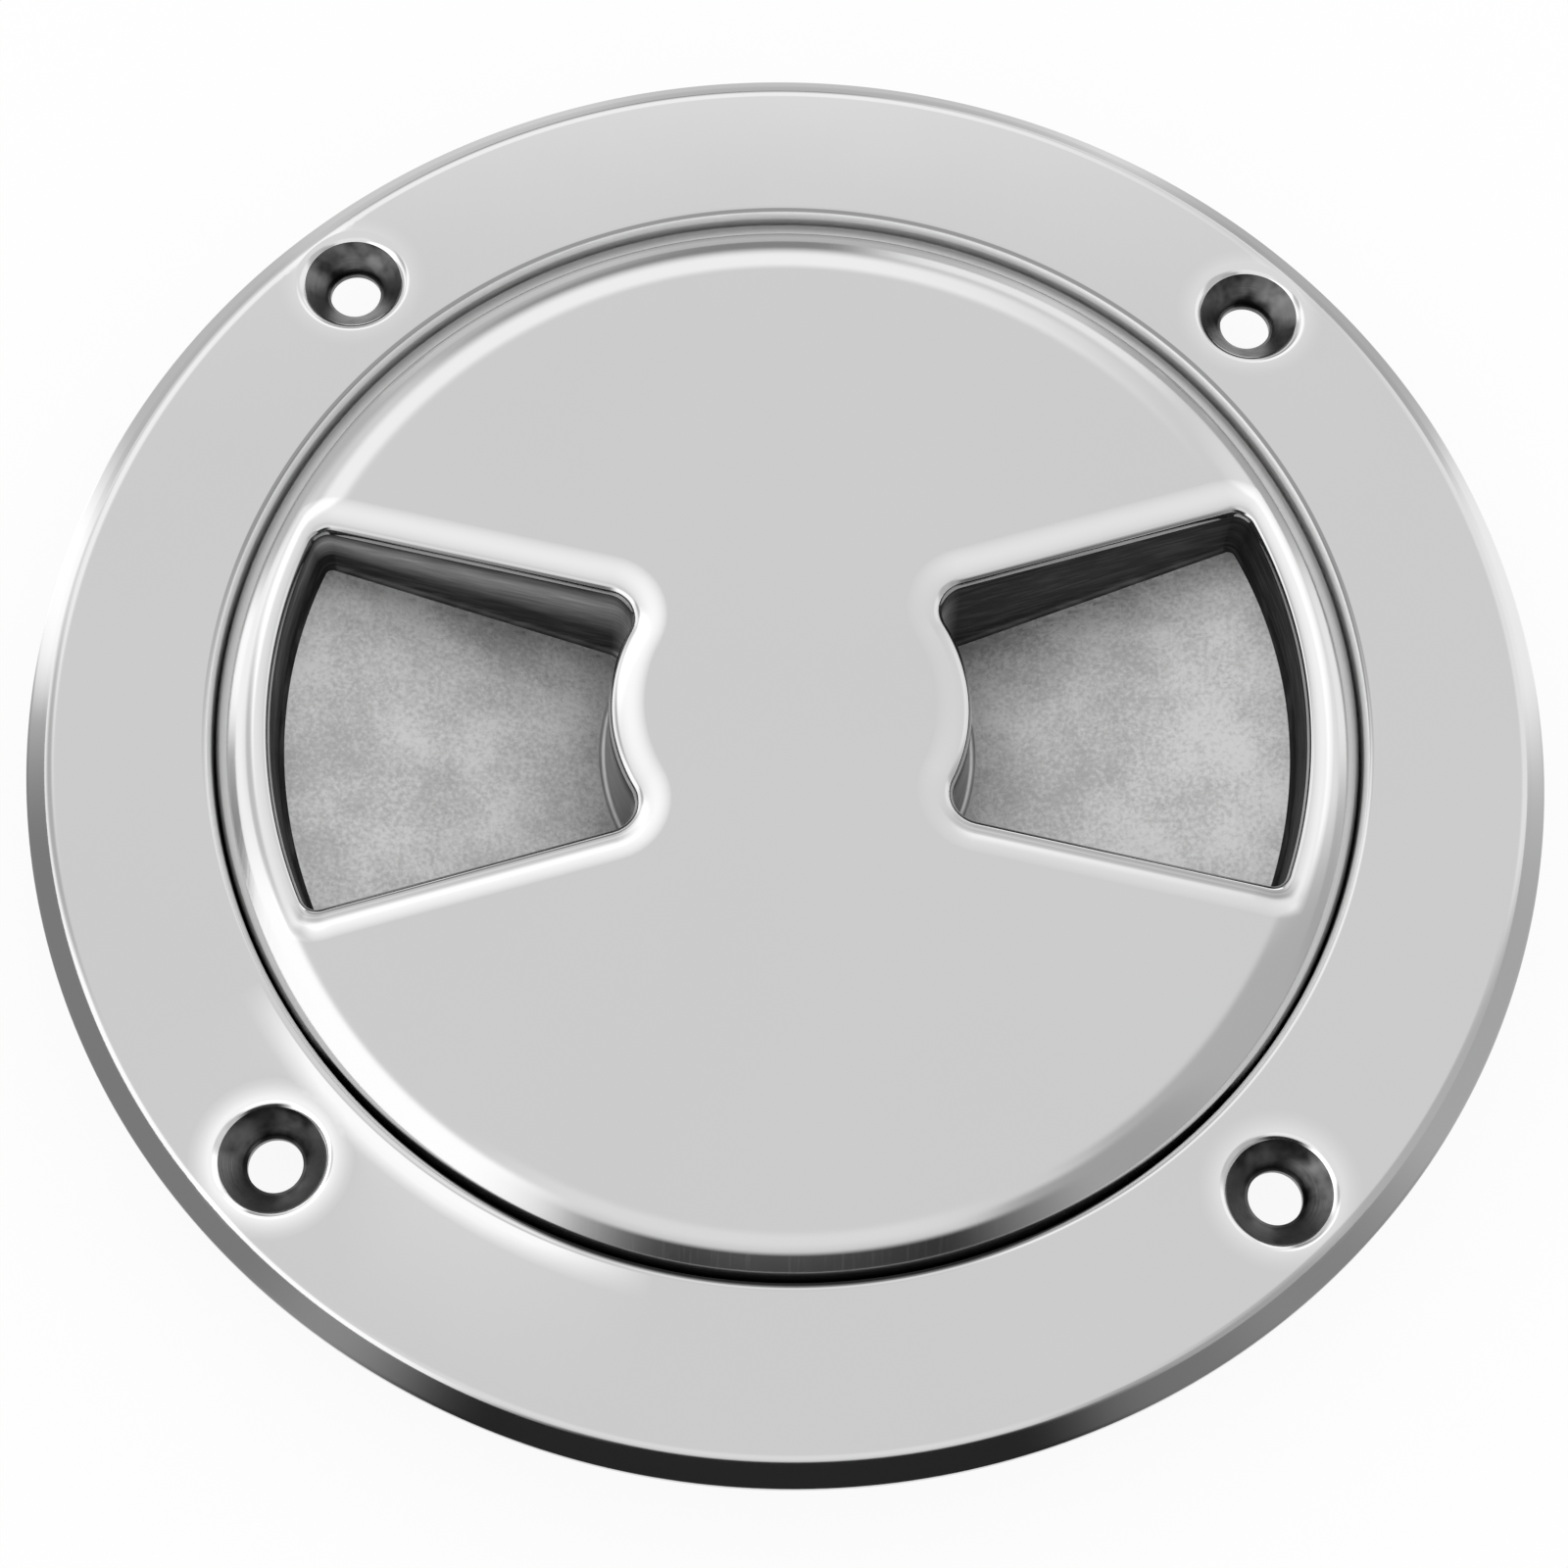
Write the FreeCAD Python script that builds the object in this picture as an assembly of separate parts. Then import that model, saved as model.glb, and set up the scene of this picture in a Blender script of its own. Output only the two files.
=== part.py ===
"""Screw-in deck inspection plate: a flange ring, a threaded lid with two finger pockets, and a seal.

All lengths are millimetres.  Z = 0 is the deck, which the flange lies on, and +Z points up from it.
The origin is the centre of the circle of screw holes.
"""
import FreeCAD, Part
import math
import os

Vector = FreeCAD.Vector
ORIGIN = Vector(0, 0, 0)
UP = Vector(0, 0, 1)

# Thread between the lid's skirt and the collar; its crest is the radius that all others follow
THREAD_CREST_RADIUS = 50.9
THREAD_HEIGHT = 1.3
THREAD_PITCH = 4.0
THREAD_FLANK_ANGLE = 30.0
THREAD_SIDE_CLEARANCE = 0.3
THREAD_RADIAL_CLEARANCE = 0.4
THREAD_SINK = 0.5
THREAD_RELIEF = 0.4
THREAD_END_MARGIN = 0.4

# Flange ring: the part that is screwed to the deck
FLANGE_THICKNESS = 3.6
FLANGE_EDGE_WIDTH = 3.0
FLANGE_EDGE_SLOPE = 40.0
FLANGE_EDGE_ROUND = 3.6
FLANGE_NOSE_ROUND = 1.5
FLANGE_FOOT_ROUND = 0.3
LIP_ROUND = 1.3
COLLAR_SEAT_WALL = 1.7
COLLAR_DEPTH = 13.0
COLLAR_ROOT_ROUND = 0.8
COLLAR_END_ROUND = 0.6

# Screw holes through the flange
SCREW_COUNT = 4
SCREW_INSET = 8.7
SCREW_EDGE_DISTANCE = 8.5
SCREW_START_ANGLE = 45.0
SCREW_HOLE_RADIUS = 2.75
COUNTERSINK_RADIUS = 5.25
COUNTERSINK_HALF_ANGLE = 45.0
COUNTERSINK_EDGE_ROUND = 0.5

# Lid: plateau, shoulder and rim
PLATEAU_RISE = 2.0
PLATE_THICKNESS = 3.0
SHOULDER_WIDTH = 3.9
SHOULDER_SLOPE = 38.0
SHOULDER_ROUND = 9.0
RIM_WIDTH = 2.4
RIM_NOSE_ROUND = 2.2
RIM_FOOT_ROUND = 0.3
RIM_SEAT_DEPTH = 2.6
RIM_GAP = 0.9

# Lid: neck and threaded skirt
NECK_STEP = 0.1
NECK_DEPTH = 3.4
SKIRT_SETBACK = 1.5
SKIRT_WALL = 2.5
SKIRT_ROOT_ROUND = 1.5
SKIRT_END_ROUND = 0.5

# Finger pockets in the lid
POCKET_OUTER_WALL = 1.1
POCKET_INNER_RADIUS = 17.0
POCKET_HALF_WIDTH = 7.6
POCKET_SIDE_ANGLE = 14.7
POCKET_OUTER_DEPTH = 6.6
POCKET_INNER_DEPTH = 12.8
POCKET_DRAFT = 3.0
POCKET_WALL = 2.2
POCKET_RIM_ROLL = 1.7
POCKET_INNER_CORNER = 2.8
POCKET_OUTER_CORNER = 1.6
POCKET_FLOOR_ROUND = 1.4
LID_CLOSED_ANGLE = 3.5

# Seal ring, squeezed between the lid's rim and the seat in the flange ring
SEAL_SECTION = 2.0
SEAL_SQUEEZE = 0.25
SEAL_CLEARANCE = 0.1

# Cutters and blanks run past the body by the margin; lengths under the tolerance count as none
CUT_MARGIN = 3.6
TOLERANCE = 1e-3

# Radii that follow from the sizes above
skirt_radius = THREAD_CREST_RADIUS - THREAD_HEIGHT
skirt_bore_radius = skirt_radius - SKIRT_WALL
neck_radius = THREAD_CREST_RADIUS + NECK_STEP
rim_radius = neck_radius + RIM_WIDTH
shoulder_start = rim_radius - SHOULDER_WIDTH
pocket_outer_radius = skirt_radius - POCKET_OUTER_WALL
collar_bore_radius = THREAD_CREST_RADIUS + THREAD_RADIAL_CLEARANCE
collar_thread_radius = skirt_radius + THREAD_RADIAL_CLEARANCE
counterbore_radius = rim_radius + RIM_GAP
collar_radius = counterbore_radius + COLLAR_SEAT_WALL
screw_circle_radius = counterbore_radius + SCREW_INSET
flange_radius = screw_circle_radius + SCREW_EDGE_DISTANCE
flange_edge_start = flange_radius - FLANGE_EDGE_WIDTH

# Levels that follow from the sizes above
plateau_z = FLANGE_THICKNESS + PLATEAU_RISE
plate_underside_z = plateau_z - PLATE_THICKNESS
rim_underside_z = FLANGE_THICKNESS - RIM_SEAT_DEPTH
neck_z = rim_underside_z - NECK_DEPTH
seal_height = SEAL_SECTION - SEAL_SQUEEZE
seat_z = rim_underside_z - seal_height
skirt_end_z = SKIRT_SETBACK - COLLAR_DEPTH


def rounded_wire(corners):
    """Closed wire in the XZ plane through (radius, height, rounding) corners.

    Roundings that meet on a short side are made smaller together, until they fit on it.
    """
    points = [Vector(radius, 0, height) for radius, height, rounding in corners]
    sides = [(points[(index + 1) % len(points)] - point) for index, point in enumerate(points)]
    half_angles = [side.getAngle(sides[index - 1] * -1) / 2 for index, side in enumerate(sides)]
    reaches = [corner[2] / math.tan(half) for corner, half in zip(corners, half_angles)]
    shares = [1.0] * len(corners)
    for index, side in enumerate(sides):
        following = (index + 1) % len(points)
        needed = reaches[index] + reaches[following]
        if needed > side.Length:
            fit = (side.Length - TOLERANCE) / needed
            shares[index] = min(shares[index], fit)
            shares[following] = min(shares[following], fit)
    starts = []
    middles = []
    ends = []
    for index, corner in enumerate(corners):
        back = (sides[index - 1] * -1).normalize()
        ahead = Vector(sides[index]).normalize()
        rounding = corner[2] * shares[index]
        reach = reaches[index] * shares[index]
        inward = (back + ahead).normalize()
        starts.append(points[index] + back * reach)
        ends.append(points[index] + ahead * reach)
        middles.append(points[index] + inward * (rounding / math.sin(half_angles[index]) - rounding))
    edges = []
    for index, corner in enumerate(corners):
        edges.append(Part.LineSegment(ends[index - 1], starts[index]).toShape())
        if corner[2] > 0:
            edges.append(Part.Arc(starts[index], middles[index], ends[index]).toShape())
    return Part.Wire(edges)


def turned(corners):
    """Solid turned about the Z axis from a section given by its corners."""
    return Part.Face(rounded_wire(corners)).revolve(ORIGIN, UP, 360)


def slab(radius, low, high):
    """Round slab about the Z axis between two heights."""
    return Part.makeCylinder(radius, high - low, Vector(0, 0, low))


def solid_from(faces):
    """Closed solid from its faces, turned right side out."""
    solid = Part.Solid(Part.Shell(faces))
    if solid.Volume < 0:
        solid.reverse()
    return solid


def flat_face(points):
    """Flat face with straight sides between points."""
    return Part.Face(Part.makePolygon(points + points[:1]))


def thread_ridge(wall_radius, crest_radius, low, high, offset):
    """Right-hand helical ridge on a round wall, cut off square between two heights.

    The offset lifts the whole helix, so that one thread's ridges can lie between another's.
    """
    outward = 1 if crest_radius > wall_radius else -1
    lean = math.tan(math.radians(THREAD_FLANK_ANGLE))
    half_width = (THREAD_PITCH / 2 - THREAD_SIDE_CLEARANCE) / 2
    crest_half = half_width - lean * THREAD_HEIGHT / 2
    buried_half = half_width + lean * (THREAD_HEIGHT / 2 + THREAD_SINK)
    buried_radius = wall_radius - outward * THREAD_SINK
    start_z = (math.floor(low / THREAD_PITCH) - 1) * THREAD_PITCH + offset
    turns = math.ceil((high - start_z) / THREAD_PITCH) + 1
    corners = ((buried_radius, -buried_half), (crest_radius, -crest_half),
               (crest_radius, crest_half), (buried_radius, buried_half))
    edges = []
    for radius, rise in corners:
        helix = Part.makeHelix(THREAD_PITCH, turns * THREAD_PITCH, radius)
        helix.translate(Vector(0, 0, start_z + rise))
        edges.append(helix.Edges[0])
    faces = [Part.makeRuledSurface(edges[index - 1], edge) for index, edge in enumerate(edges)]
    faces.append(flat_face([edge.firstVertex().Point for edge in edges]))
    faces.append(flat_face([edge.lastVertex().Point for edge in edges]))
    return solid_from(faces).common(slab(flange_radius, low, high))


def countersunk_hole():
    """Cutter for one screw hole, upright at the place of a hole on the X axis."""
    lean = math.tan(math.radians(COUNTERSINK_HALF_ANGLE))
    depth = (COUNTERSINK_RADIUS - SCREW_HOLE_RADIUS) / lean
    flare = COUNTERSINK_RADIUS + CUT_MARGIN * lean
    cone = Part.makeCone(SCREW_HOLE_RADIUS, flare, depth + CUT_MARGIN, Vector(0, 0, FLANGE_THICKNESS - depth))
    cutter = cone.fuse(slab(SCREW_HOLE_RADIUS, -CUT_MARGIN, FLANGE_THICKNESS))
    cutter.translate(Vector(screw_circle_radius, 0, 0))
    return cutter


def is_countersink_mouth(edge):
    """True for the circle where a countersink meets the flange's top face."""
    if not isinstance(edge.Curve, Part.Circle):
        return False
    same_radius = abs(edge.Curve.Radius - COUNTERSINK_RADIUS) < TOLERANCE
    return same_radius and abs(edge.Curve.Center.z - FLANGE_THICKNESS) < TOLERANCE


def make_flange_ring():
    """Flange, collar with its internal thread, seat for the seal, and the screw holes, in one casting."""
    edge_fall = FLANGE_EDGE_WIDTH * math.tan(math.radians(FLANGE_EDGE_SLOPE))
    ring = turned([
        (counterbore_radius, FLANGE_THICKNESS, LIP_ROUND),
        (flange_edge_start, FLANGE_THICKNESS, FLANGE_EDGE_ROUND),
        (flange_radius, FLANGE_THICKNESS - edge_fall, FLANGE_NOSE_ROUND),
        (flange_radius, 0, FLANGE_FOOT_ROUND),
        (collar_radius, 0, COLLAR_ROOT_ROUND),
        (collar_radius, -COLLAR_DEPTH, COLLAR_END_ROUND),
        (collar_bore_radius, -COLLAR_DEPTH, COLLAR_END_ROUND),
        (collar_bore_radius, seat_z, 0),
        (counterbore_radius, seat_z, 0)])
    ridge_low = COLLAR_END_ROUND + THREAD_END_MARGIN - COLLAR_DEPTH
    ridge_high = neck_z - THREAD_RELIEF
    ring = ring.fuse(thread_ridge(collar_bore_radius, collar_thread_radius, ridge_low, ridge_high,
                                  THREAD_PITCH / 2))
    for index in range(SCREW_COUNT):
        cutter = countersunk_hole()
        cutter.rotate(ORIGIN, UP, SCREW_START_ANGLE + index * 360 / SCREW_COUNT)
        ring = ring.cut(cutter)
    mouths = [edge for edge in ring.Edges if is_countersink_mouth(edge)]
    return ring.makeFillet(COUNTERSINK_EDGE_ROUND, mouths)


def wedge_between(levels, spreads):
    """Flat-faced wedge about the X axis, which widens outward and is wider by a spread at each level."""
    reach = flange_radius
    slope = math.tan(math.radians(POCKET_SIDE_ANGLE))
    outlines = []
    for z, spread in zip(levels, spreads):
        near = POCKET_HALF_WIDTH + spread
        far = near + slope * reach
        outlines.append([Vector(0, -near, z), Vector(reach, -far, z),
                         Vector(reach, far, z), Vector(0, near, z)])
    low_points, high_points = outlines
    faces = [flat_face(low_points), flat_face(high_points)]
    for index, low_point in enumerate(low_points):
        faces.append(flat_face([low_points[index - 1], low_point,
                                high_points[index], high_points[index - 1]]))
    return solid_from(faces)


def pocket_solid(wall, corner_outer, corner_inner, floor_round):
    """The hollow of the pocket on the +X side, grown by a wall on every side but its open top."""
    lean = math.tan(math.radians(POCKET_DRAFT))
    low = plateau_z - POCKET_INNER_DEPTH - POCKET_WALL - CUT_MARGIN
    high = plateau_z + CUT_MARGIN
    levels = (low, high)
    grown = [wall + (z - plateau_z) * lean for z in levels]
    side_wall = wall / math.cos(math.radians(POCKET_SIDE_ANGLE))
    wedge = wedge_between(levels, [side_wall + (z - plateau_z) * lean for z in levels])
    outer = [pocket_outer_radius + growth for growth in grown]
    inner = [POCKET_INNER_RADIUS - growth for growth in grown]
    disc = Part.makeCone(outer[0], outer[1], high - low, Vector(0, 0, low))
    core = Part.makeCone(inner[0], inner[1], high - low, Vector(0, 0, low))
    fall = (POCKET_INNER_DEPTH - POCKET_OUTER_DEPTH) / (pocket_outer_radius - POCKET_INNER_RADIUS)
    floor_at_axis = plateau_z - POCKET_OUTER_DEPTH - wall - fall * pocket_outer_radius
    reach = flange_radius
    above_floor = flat_face([
        Vector(0, -reach, floor_at_axis),
        Vector(reach, -reach, floor_at_axis + fall * reach),
        Vector(reach, -reach, high + fall * reach),
        Vector(0, -reach, high + fall * reach)]).extrude(Vector(0, 2 * reach, 0))
    solid = disc.common(wedge).cut(core).common(above_floor)
    middle_radius = (pocket_outer_radius + POCKET_INNER_RADIUS) / 2
    outer_corners = [edge for edge in solid.Edges if is_upright(edge) and radius_of(edge) > middle_radius]
    solid = solid.makeFillet(corner_outer, outer_corners)
    inner_corners = [edge for edge in solid.Edges if is_upright(edge) and radius_of(edge) < middle_radius]
    solid = solid.makeFillet(corner_inner, inner_corners)
    if floor_round > 0:
        down = Vector(fall, 0, -1).normalize()
        flats = [face for face in solid.Faces if isinstance(face.Surface, Part.Plane)]
        floor = max(flats, key=lambda face: face.normalAt(0, 0).dot(down))
        solid = solid.makeFillet(floor_round, floor.OuterWire.Edges)
    return solid


def radius_of(edge):
    """Distance of an edge's middle from the Z axis."""
    return math.hypot(edge.CenterOfMass.x, edge.CenterOfMass.y)


def is_upright(edge):
    """True for an edge that rises over more than half its length."""
    return edge.BoundBox.ZLength > edge.Length / 2


def on_pocket_rim(edge, hollow):
    """True for an edge of the lid's top where it breaks into a pocket's hollow."""
    if edge.CenterOfMass.z < plateau_z - POCKET_RIM_ROLL:
        return False
    middle = edge.valueAt((edge.FirstParameter + edge.LastParameter) / 2)
    return Part.Vertex(middle).distToShape(hollow.Shells[0])[0] < TOLERANCE


def make_lid():
    """Plateau, shoulder and rim, with the threaded skirt and the two pockets, in one casting."""
    shoulder_fall = SHOULDER_WIDTH * math.tan(math.radians(SHOULDER_SLOPE))
    body = turned([
        (0, plateau_z, 0),
        (shoulder_start, plateau_z, SHOULDER_ROUND),
        (rim_radius, plateau_z - shoulder_fall, RIM_NOSE_ROUND),
        (rim_radius, rim_underside_z, RIM_FOOT_ROUND),
        (neck_radius, rim_underside_z, 0),
        (neck_radius, neck_z, 0),
        (skirt_radius, neck_z, 0),
        (skirt_radius, skirt_end_z, SKIRT_END_ROUND),
        (skirt_bore_radius, skirt_end_z, SKIRT_END_ROUND),
        (skirt_bore_radius, plate_underside_z, SKIRT_ROOT_ROUND),
        (0, plate_underside_z, 0)])
    ridge_low = skirt_end_z + SKIRT_END_ROUND + THREAD_END_MARGIN
    ridge_high = neck_z + THREAD_RELIEF
    body = body.fuse(thread_ridge(skirt_radius, THREAD_CREST_RADIUS, ridge_low, ridge_high, 0))
    within_skirt = slab(skirt_radius - SKIRT_WALL / 2, skirt_end_z, plate_underside_z + PLATE_THICKNESS / 2)
    boss = pocket_solid(POCKET_WALL, POCKET_OUTER_CORNER, POCKET_INNER_CORNER + POCKET_WALL, 0)
    boss = boss.common(within_skirt)
    hollow = pocket_solid(0, POCKET_OUTER_CORNER, POCKET_INNER_CORNER, POCKET_FLOOR_ROUND)
    hollows = []
    for side in (0, 180):
        side_boss = boss.copy()
        side_boss.rotate(ORIGIN, UP, LID_CLOSED_ANGLE + side)
        body = body.fuse(side_boss)
        side_hollow = hollow.copy()
        side_hollow.rotate(ORIGIN, UP, LID_CLOSED_ANGLE + side)
        hollows.append(side_hollow)
    for side_hollow in hollows:
        body = body.cut(side_hollow)
    rims = [edge for edge in body.Edges if any(on_pocket_rim(edge, hollow) for hollow in hollows)]
    return body.makeFillet(POCKET_RIM_ROLL, rims)


def make_seal():
    """Rubber ring of round section, squeezed flat where the rim and the seat press on it."""
    free_area = math.pi * SEAL_SECTION ** 2 / 4
    round_area = math.pi * seal_height ** 2 / 4
    flat_width = (free_area - round_area) / seal_height
    inner = neck_radius + SEAL_CLEARANCE
    outer = inner + seal_height + flat_width
    side_round = seal_height / 2 - TOLERANCE
    return turned([
        (inner, rim_underside_z, side_round),
        (outer, rim_underside_z, side_round),
        (outer, seat_z, side_round),
        (inner, seat_z, side_round)])


if __name__ == "__main__":
    os.makedirs("parts", exist_ok=True)
    for name, make in (("flange_ring", make_flange_ring), ("lid", make_lid), ("seal_ring", make_seal)):
        make().exportStep("parts/" + name + ".step")
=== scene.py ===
"""Dressed model of a screw-in deck inspection plate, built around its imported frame.

Shapes are worked out in millimetres in the frame's own axes and become metres when a mesh is made.
Z = 0 is the deck, which the flange lies on, and the lid's thread turns about the Z axis.
"""
from __future__ import annotations

import logging
import math
from collections.abc import Callable, Iterable, Sequence
from dataclasses import dataclass, field
from enum import Enum
from typing import Any, Union

import bmesh
import bpy
from mathutils import Matrix, Vector, geometry, kdtree, noise

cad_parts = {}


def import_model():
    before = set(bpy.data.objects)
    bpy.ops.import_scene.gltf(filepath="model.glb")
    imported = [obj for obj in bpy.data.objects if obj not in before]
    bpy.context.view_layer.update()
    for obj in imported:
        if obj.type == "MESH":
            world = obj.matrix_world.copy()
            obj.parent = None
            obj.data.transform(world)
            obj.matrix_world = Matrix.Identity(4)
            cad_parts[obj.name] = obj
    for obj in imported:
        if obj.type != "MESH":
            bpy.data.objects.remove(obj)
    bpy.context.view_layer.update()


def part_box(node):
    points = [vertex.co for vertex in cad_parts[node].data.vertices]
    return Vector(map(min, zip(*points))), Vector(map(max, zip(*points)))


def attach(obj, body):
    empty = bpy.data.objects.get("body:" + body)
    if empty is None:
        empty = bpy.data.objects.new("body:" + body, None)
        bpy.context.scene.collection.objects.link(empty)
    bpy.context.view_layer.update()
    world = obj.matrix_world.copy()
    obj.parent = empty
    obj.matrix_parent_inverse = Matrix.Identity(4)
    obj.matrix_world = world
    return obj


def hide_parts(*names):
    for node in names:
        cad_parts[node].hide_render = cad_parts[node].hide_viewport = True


LOG = logging.getLogger("inspection_plate")
MM = 0.001
# Point attribute that carries painted light: painted highlights and painted shade mixed into each finish's
# colour
PAINTED_LIGHT = "painted_light"
COLUMNS = 360
ARC_STEP = math.radians(6)
# Points closer than WELD are one point, combined meshes are matched within JOIN_REACH, and their faces
# count as part of a wall within SEAM_REACH; HAIR is only enough to settle a comparison
WELD = 2e-4
JOIN_REACH = 2e-3
SEAM_REACH = 0.03
HAIR = 0.001
SHARP_ANGLE = math.radians(32)
TAU = 2 * math.pi


class Surface(Enum):
    """Finish that a face of a piece has."""

    POLISHED = "polished steel"
    POCKET_FLOOR = "pocket floor"
    POCKET_WALL = "pocket wall"
    CAST = "cast underside"
    TURNED = "turned steel"
    COUNTERSINK = "countersink"
    LIP = "lip's inner edge"
    RUBBER = "seal rubber"


class Blend(Enum):
    """How two closed meshes are combined."""

    JOIN = "UNION"
    KEEP_COMMON = "INTERSECT"


class Skin:
    """Points and faces of one piece, in millimetres, with points that fall together kept as one."""

    def __init__(self) -> None:
        """Start with no points and no faces."""
        self.points: list[Vector] = []
        self.normals: list[Vector] = []
        self.painted_light: list[float] = []
        self.faces: list[tuple[int, ...]] = []
        self.surfaces: list[Surface] = []
        self._places: dict[tuple[int, ...], int] = {}

    def point(self, place: Vector, normal: Vector | None = None, painted_light: float = 0.0) -> int:
        """Add a point, or find the one that is already there.

        Args:
            place: Where the point is.
            normal: Direction that the finished surface faces there, if it is known exactly.
            painted_light: How much painted light its colour has there. Above zero it is painted
            highlight on polished steel, and painted light or painted shade on the other finishes; below
            zero it is painted shade on polished steel.

        Returns:
            The point's number.
        """
        key = tuple(round(number / WELD) for number in place)
        index = self._places.get(key)
        if index is None:
            index = len(self.points)
            self._places[key] = index
            self.points.append(Vector(place))
            self.normals.append(Vector((0, 0, 0)))
            self.painted_light.append(0.0)
        self.painted_light[index] = max(self.painted_light[index], painted_light, key=abs)
        if normal is not None and self.normals[index].length == 0:
            self.normals[index] = Vector(normal)
        return index

    def face(self, corners: Iterable[int], surface: Surface) -> None:
        """Add a face, leaving out corners that fall together.

        Args:
            corners: Numbers of the corner points, anticlockwise from the front.
            surface: Finish of the face.
        """
        ring = list(dict.fromkeys(corners))
        if len(ring) > 2:
            self.faces.append(tuple(ring))
            self.surfaces.append(surface)

    def grid(self, rows: Sequence[Sequence[int]], surface: Surface) -> None:
        """Join closed rows of points by four-sided faces.

        Args:
            rows: Numbers of the points, row by row, each row anticlockwise about its axis.
            surface: Finish of the faces.
        """
        for upper, lower in zip(rows, rows[1:]):
            for column, corner in enumerate(upper):
                following = (column + 1) % len(upper)
                self.face((corner, lower[column], lower[following], upper[following]), surface)

    def fill(self, loops: Sequence[Sequence[int]], inside: Sequence[int], surface: Surface,
             facing_up: bool = True) -> None:
        """Fill the plan between an outer loop and its holes with triangles.

        Args:
            loops: Numbers of the points of each closed loop, the outer one first.
            inside: Numbers of single points between the loops.
            surface: Finish of the faces.
            facing_up: Whether the fronts of the faces look up.
        """
        numbers: list[int] = []
        edges: list[tuple[int, int]] = []
        for loop in loops:
            first = len(numbers)
            numbers.extend(loop)
            edges.extend((first + step, first + (step + 1) % len(loop)) for step in range(len(loop)))
        numbers.extend(inside)
        plan = [self.points[number].xy for number in numbers]
        holes = [(set(loop), [self.points[number].xy for number in loop]) for loop in loops[1:]]
        inside_outer_loop = 1
        result = geometry.delaunay_2d_cdt(plan, edges, [], inside_outer_loop, WELD / 10)
        triangles, sources = result[2], result[3]
        for triangle in triangles:
            corners = [numbers[sources[corner][0]] for corner in triangle]
            middle = sum((self.points[corner].xy for corner in corners), Vector((0, 0))) / 3
            if any(hole.issuperset(corners) and is_within(middle, outline) for hole, outline in holes):
                continue
            self.face(corners if facing_up else corners[::-1], surface)

    def absorb(self, mesh: bpy.types.Mesh, keep: Callable[[Vector], bool], surface: Surface) -> None:
        """Take over faces of a finished mesh and join them to the points that are already here.

        Args:
            mesh: Mesh in millimetres, which is deleted afterwards.
            keep: Tells whether a place belongs to the wanted faces. A face needs it of all its corners.
            surface: Finish of the faces.
        """
        finder = kdtree.KDTree(len(self.points))
        for number, place in enumerate(self.points):
            finder.insert(place, number)
        finder.balance()
        known: dict[int, int] = {}
        wanted = [keep(point.co) for point in mesh.vertices]
        for polygon in mesh.polygons:
            if not all(wanted[corner] for corner in polygon.vertices):
                continue
            for corner in polygon.vertices:
                if corner not in known:
                    place = mesh.vertices[corner].co
                    _, number, distance = finder.find(place)
                    known[corner] = number if distance < JOIN_REACH else self.point(place)
            self.face([known[corner] for corner in polygon.vertices], surface)
        bpy.data.meshes.remove(mesh)

    def build(self, name: str, finishes: dict[Surface, "Finish"], turn: float = 0.0) -> bpy.types.Object:
        """Make the Blender object.

        Args:
            name: Name of the object.
            finishes: The finish that each kind of surface gets.
            turn: Angle about the Z axis, in radians, that the whole piece is turned by.

        Returns:
            The object, in metres.
        """
        spin = Matrix.Rotation(turn, 3, "Z")
        mesh = bpy.data.meshes.new(name)
        mesh.from_pydata([spin @ place * MM for place in self.points], [], self.faces)
        used = list(dict.fromkeys(self.surfaces))
        for surface in used:
            mesh.materials.append(finishes[surface].material())
        mesh.polygons.foreach_set("material_index", [used.index(surface) for surface in self.surfaces])
        mesh.attributes.new(PAINTED_LIGHT, "FLOAT", "POINT").data.foreach_set("value", self.painted_light)
        mesh.shade_smooth()
        mesh.set_sharp_from_angle(angle=SHARP_ANGLE)
        mesh.normals_split_custom_set_from_vertices([spin @ normal for normal in self.normals])
        piece = bpy.data.objects.new(name, mesh)
        bpy.context.scene.collection.objects.link(piece)
        return piece


@dataclass(frozen=True)
class Corner:
    """One corner of a turned section: its radius, its height and how it is rounded."""

    radius: float
    height: float
    rounding: float = 0.0


@dataclass(frozen=True)
class SectionPoint:
    """One point of a turned section, with the direction it faces where that is known."""

    radius: float
    height: float
    outward: Vector | None = None

    def row(self, skin: Skin) -> list[int]:
        """Add the circle that this point turns into.

        Args:
            skin: The piece that the circle belongs to.

        Returns:
            Numbers of the points, anticlockwise seen from above.
        """
        numbers = []
        for angle in turn_angles(COLUMNS):
            across = Vector((math.cos(angle), math.sin(angle), 0))
            normal = None
            if self.outward is not None:
                normal = across * self.outward.x + Vector((0, 0, self.outward.y))
            numbers.append(skin.point(across * self.radius + Vector((0, 0, self.height)), normal))
        return numbers


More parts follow.
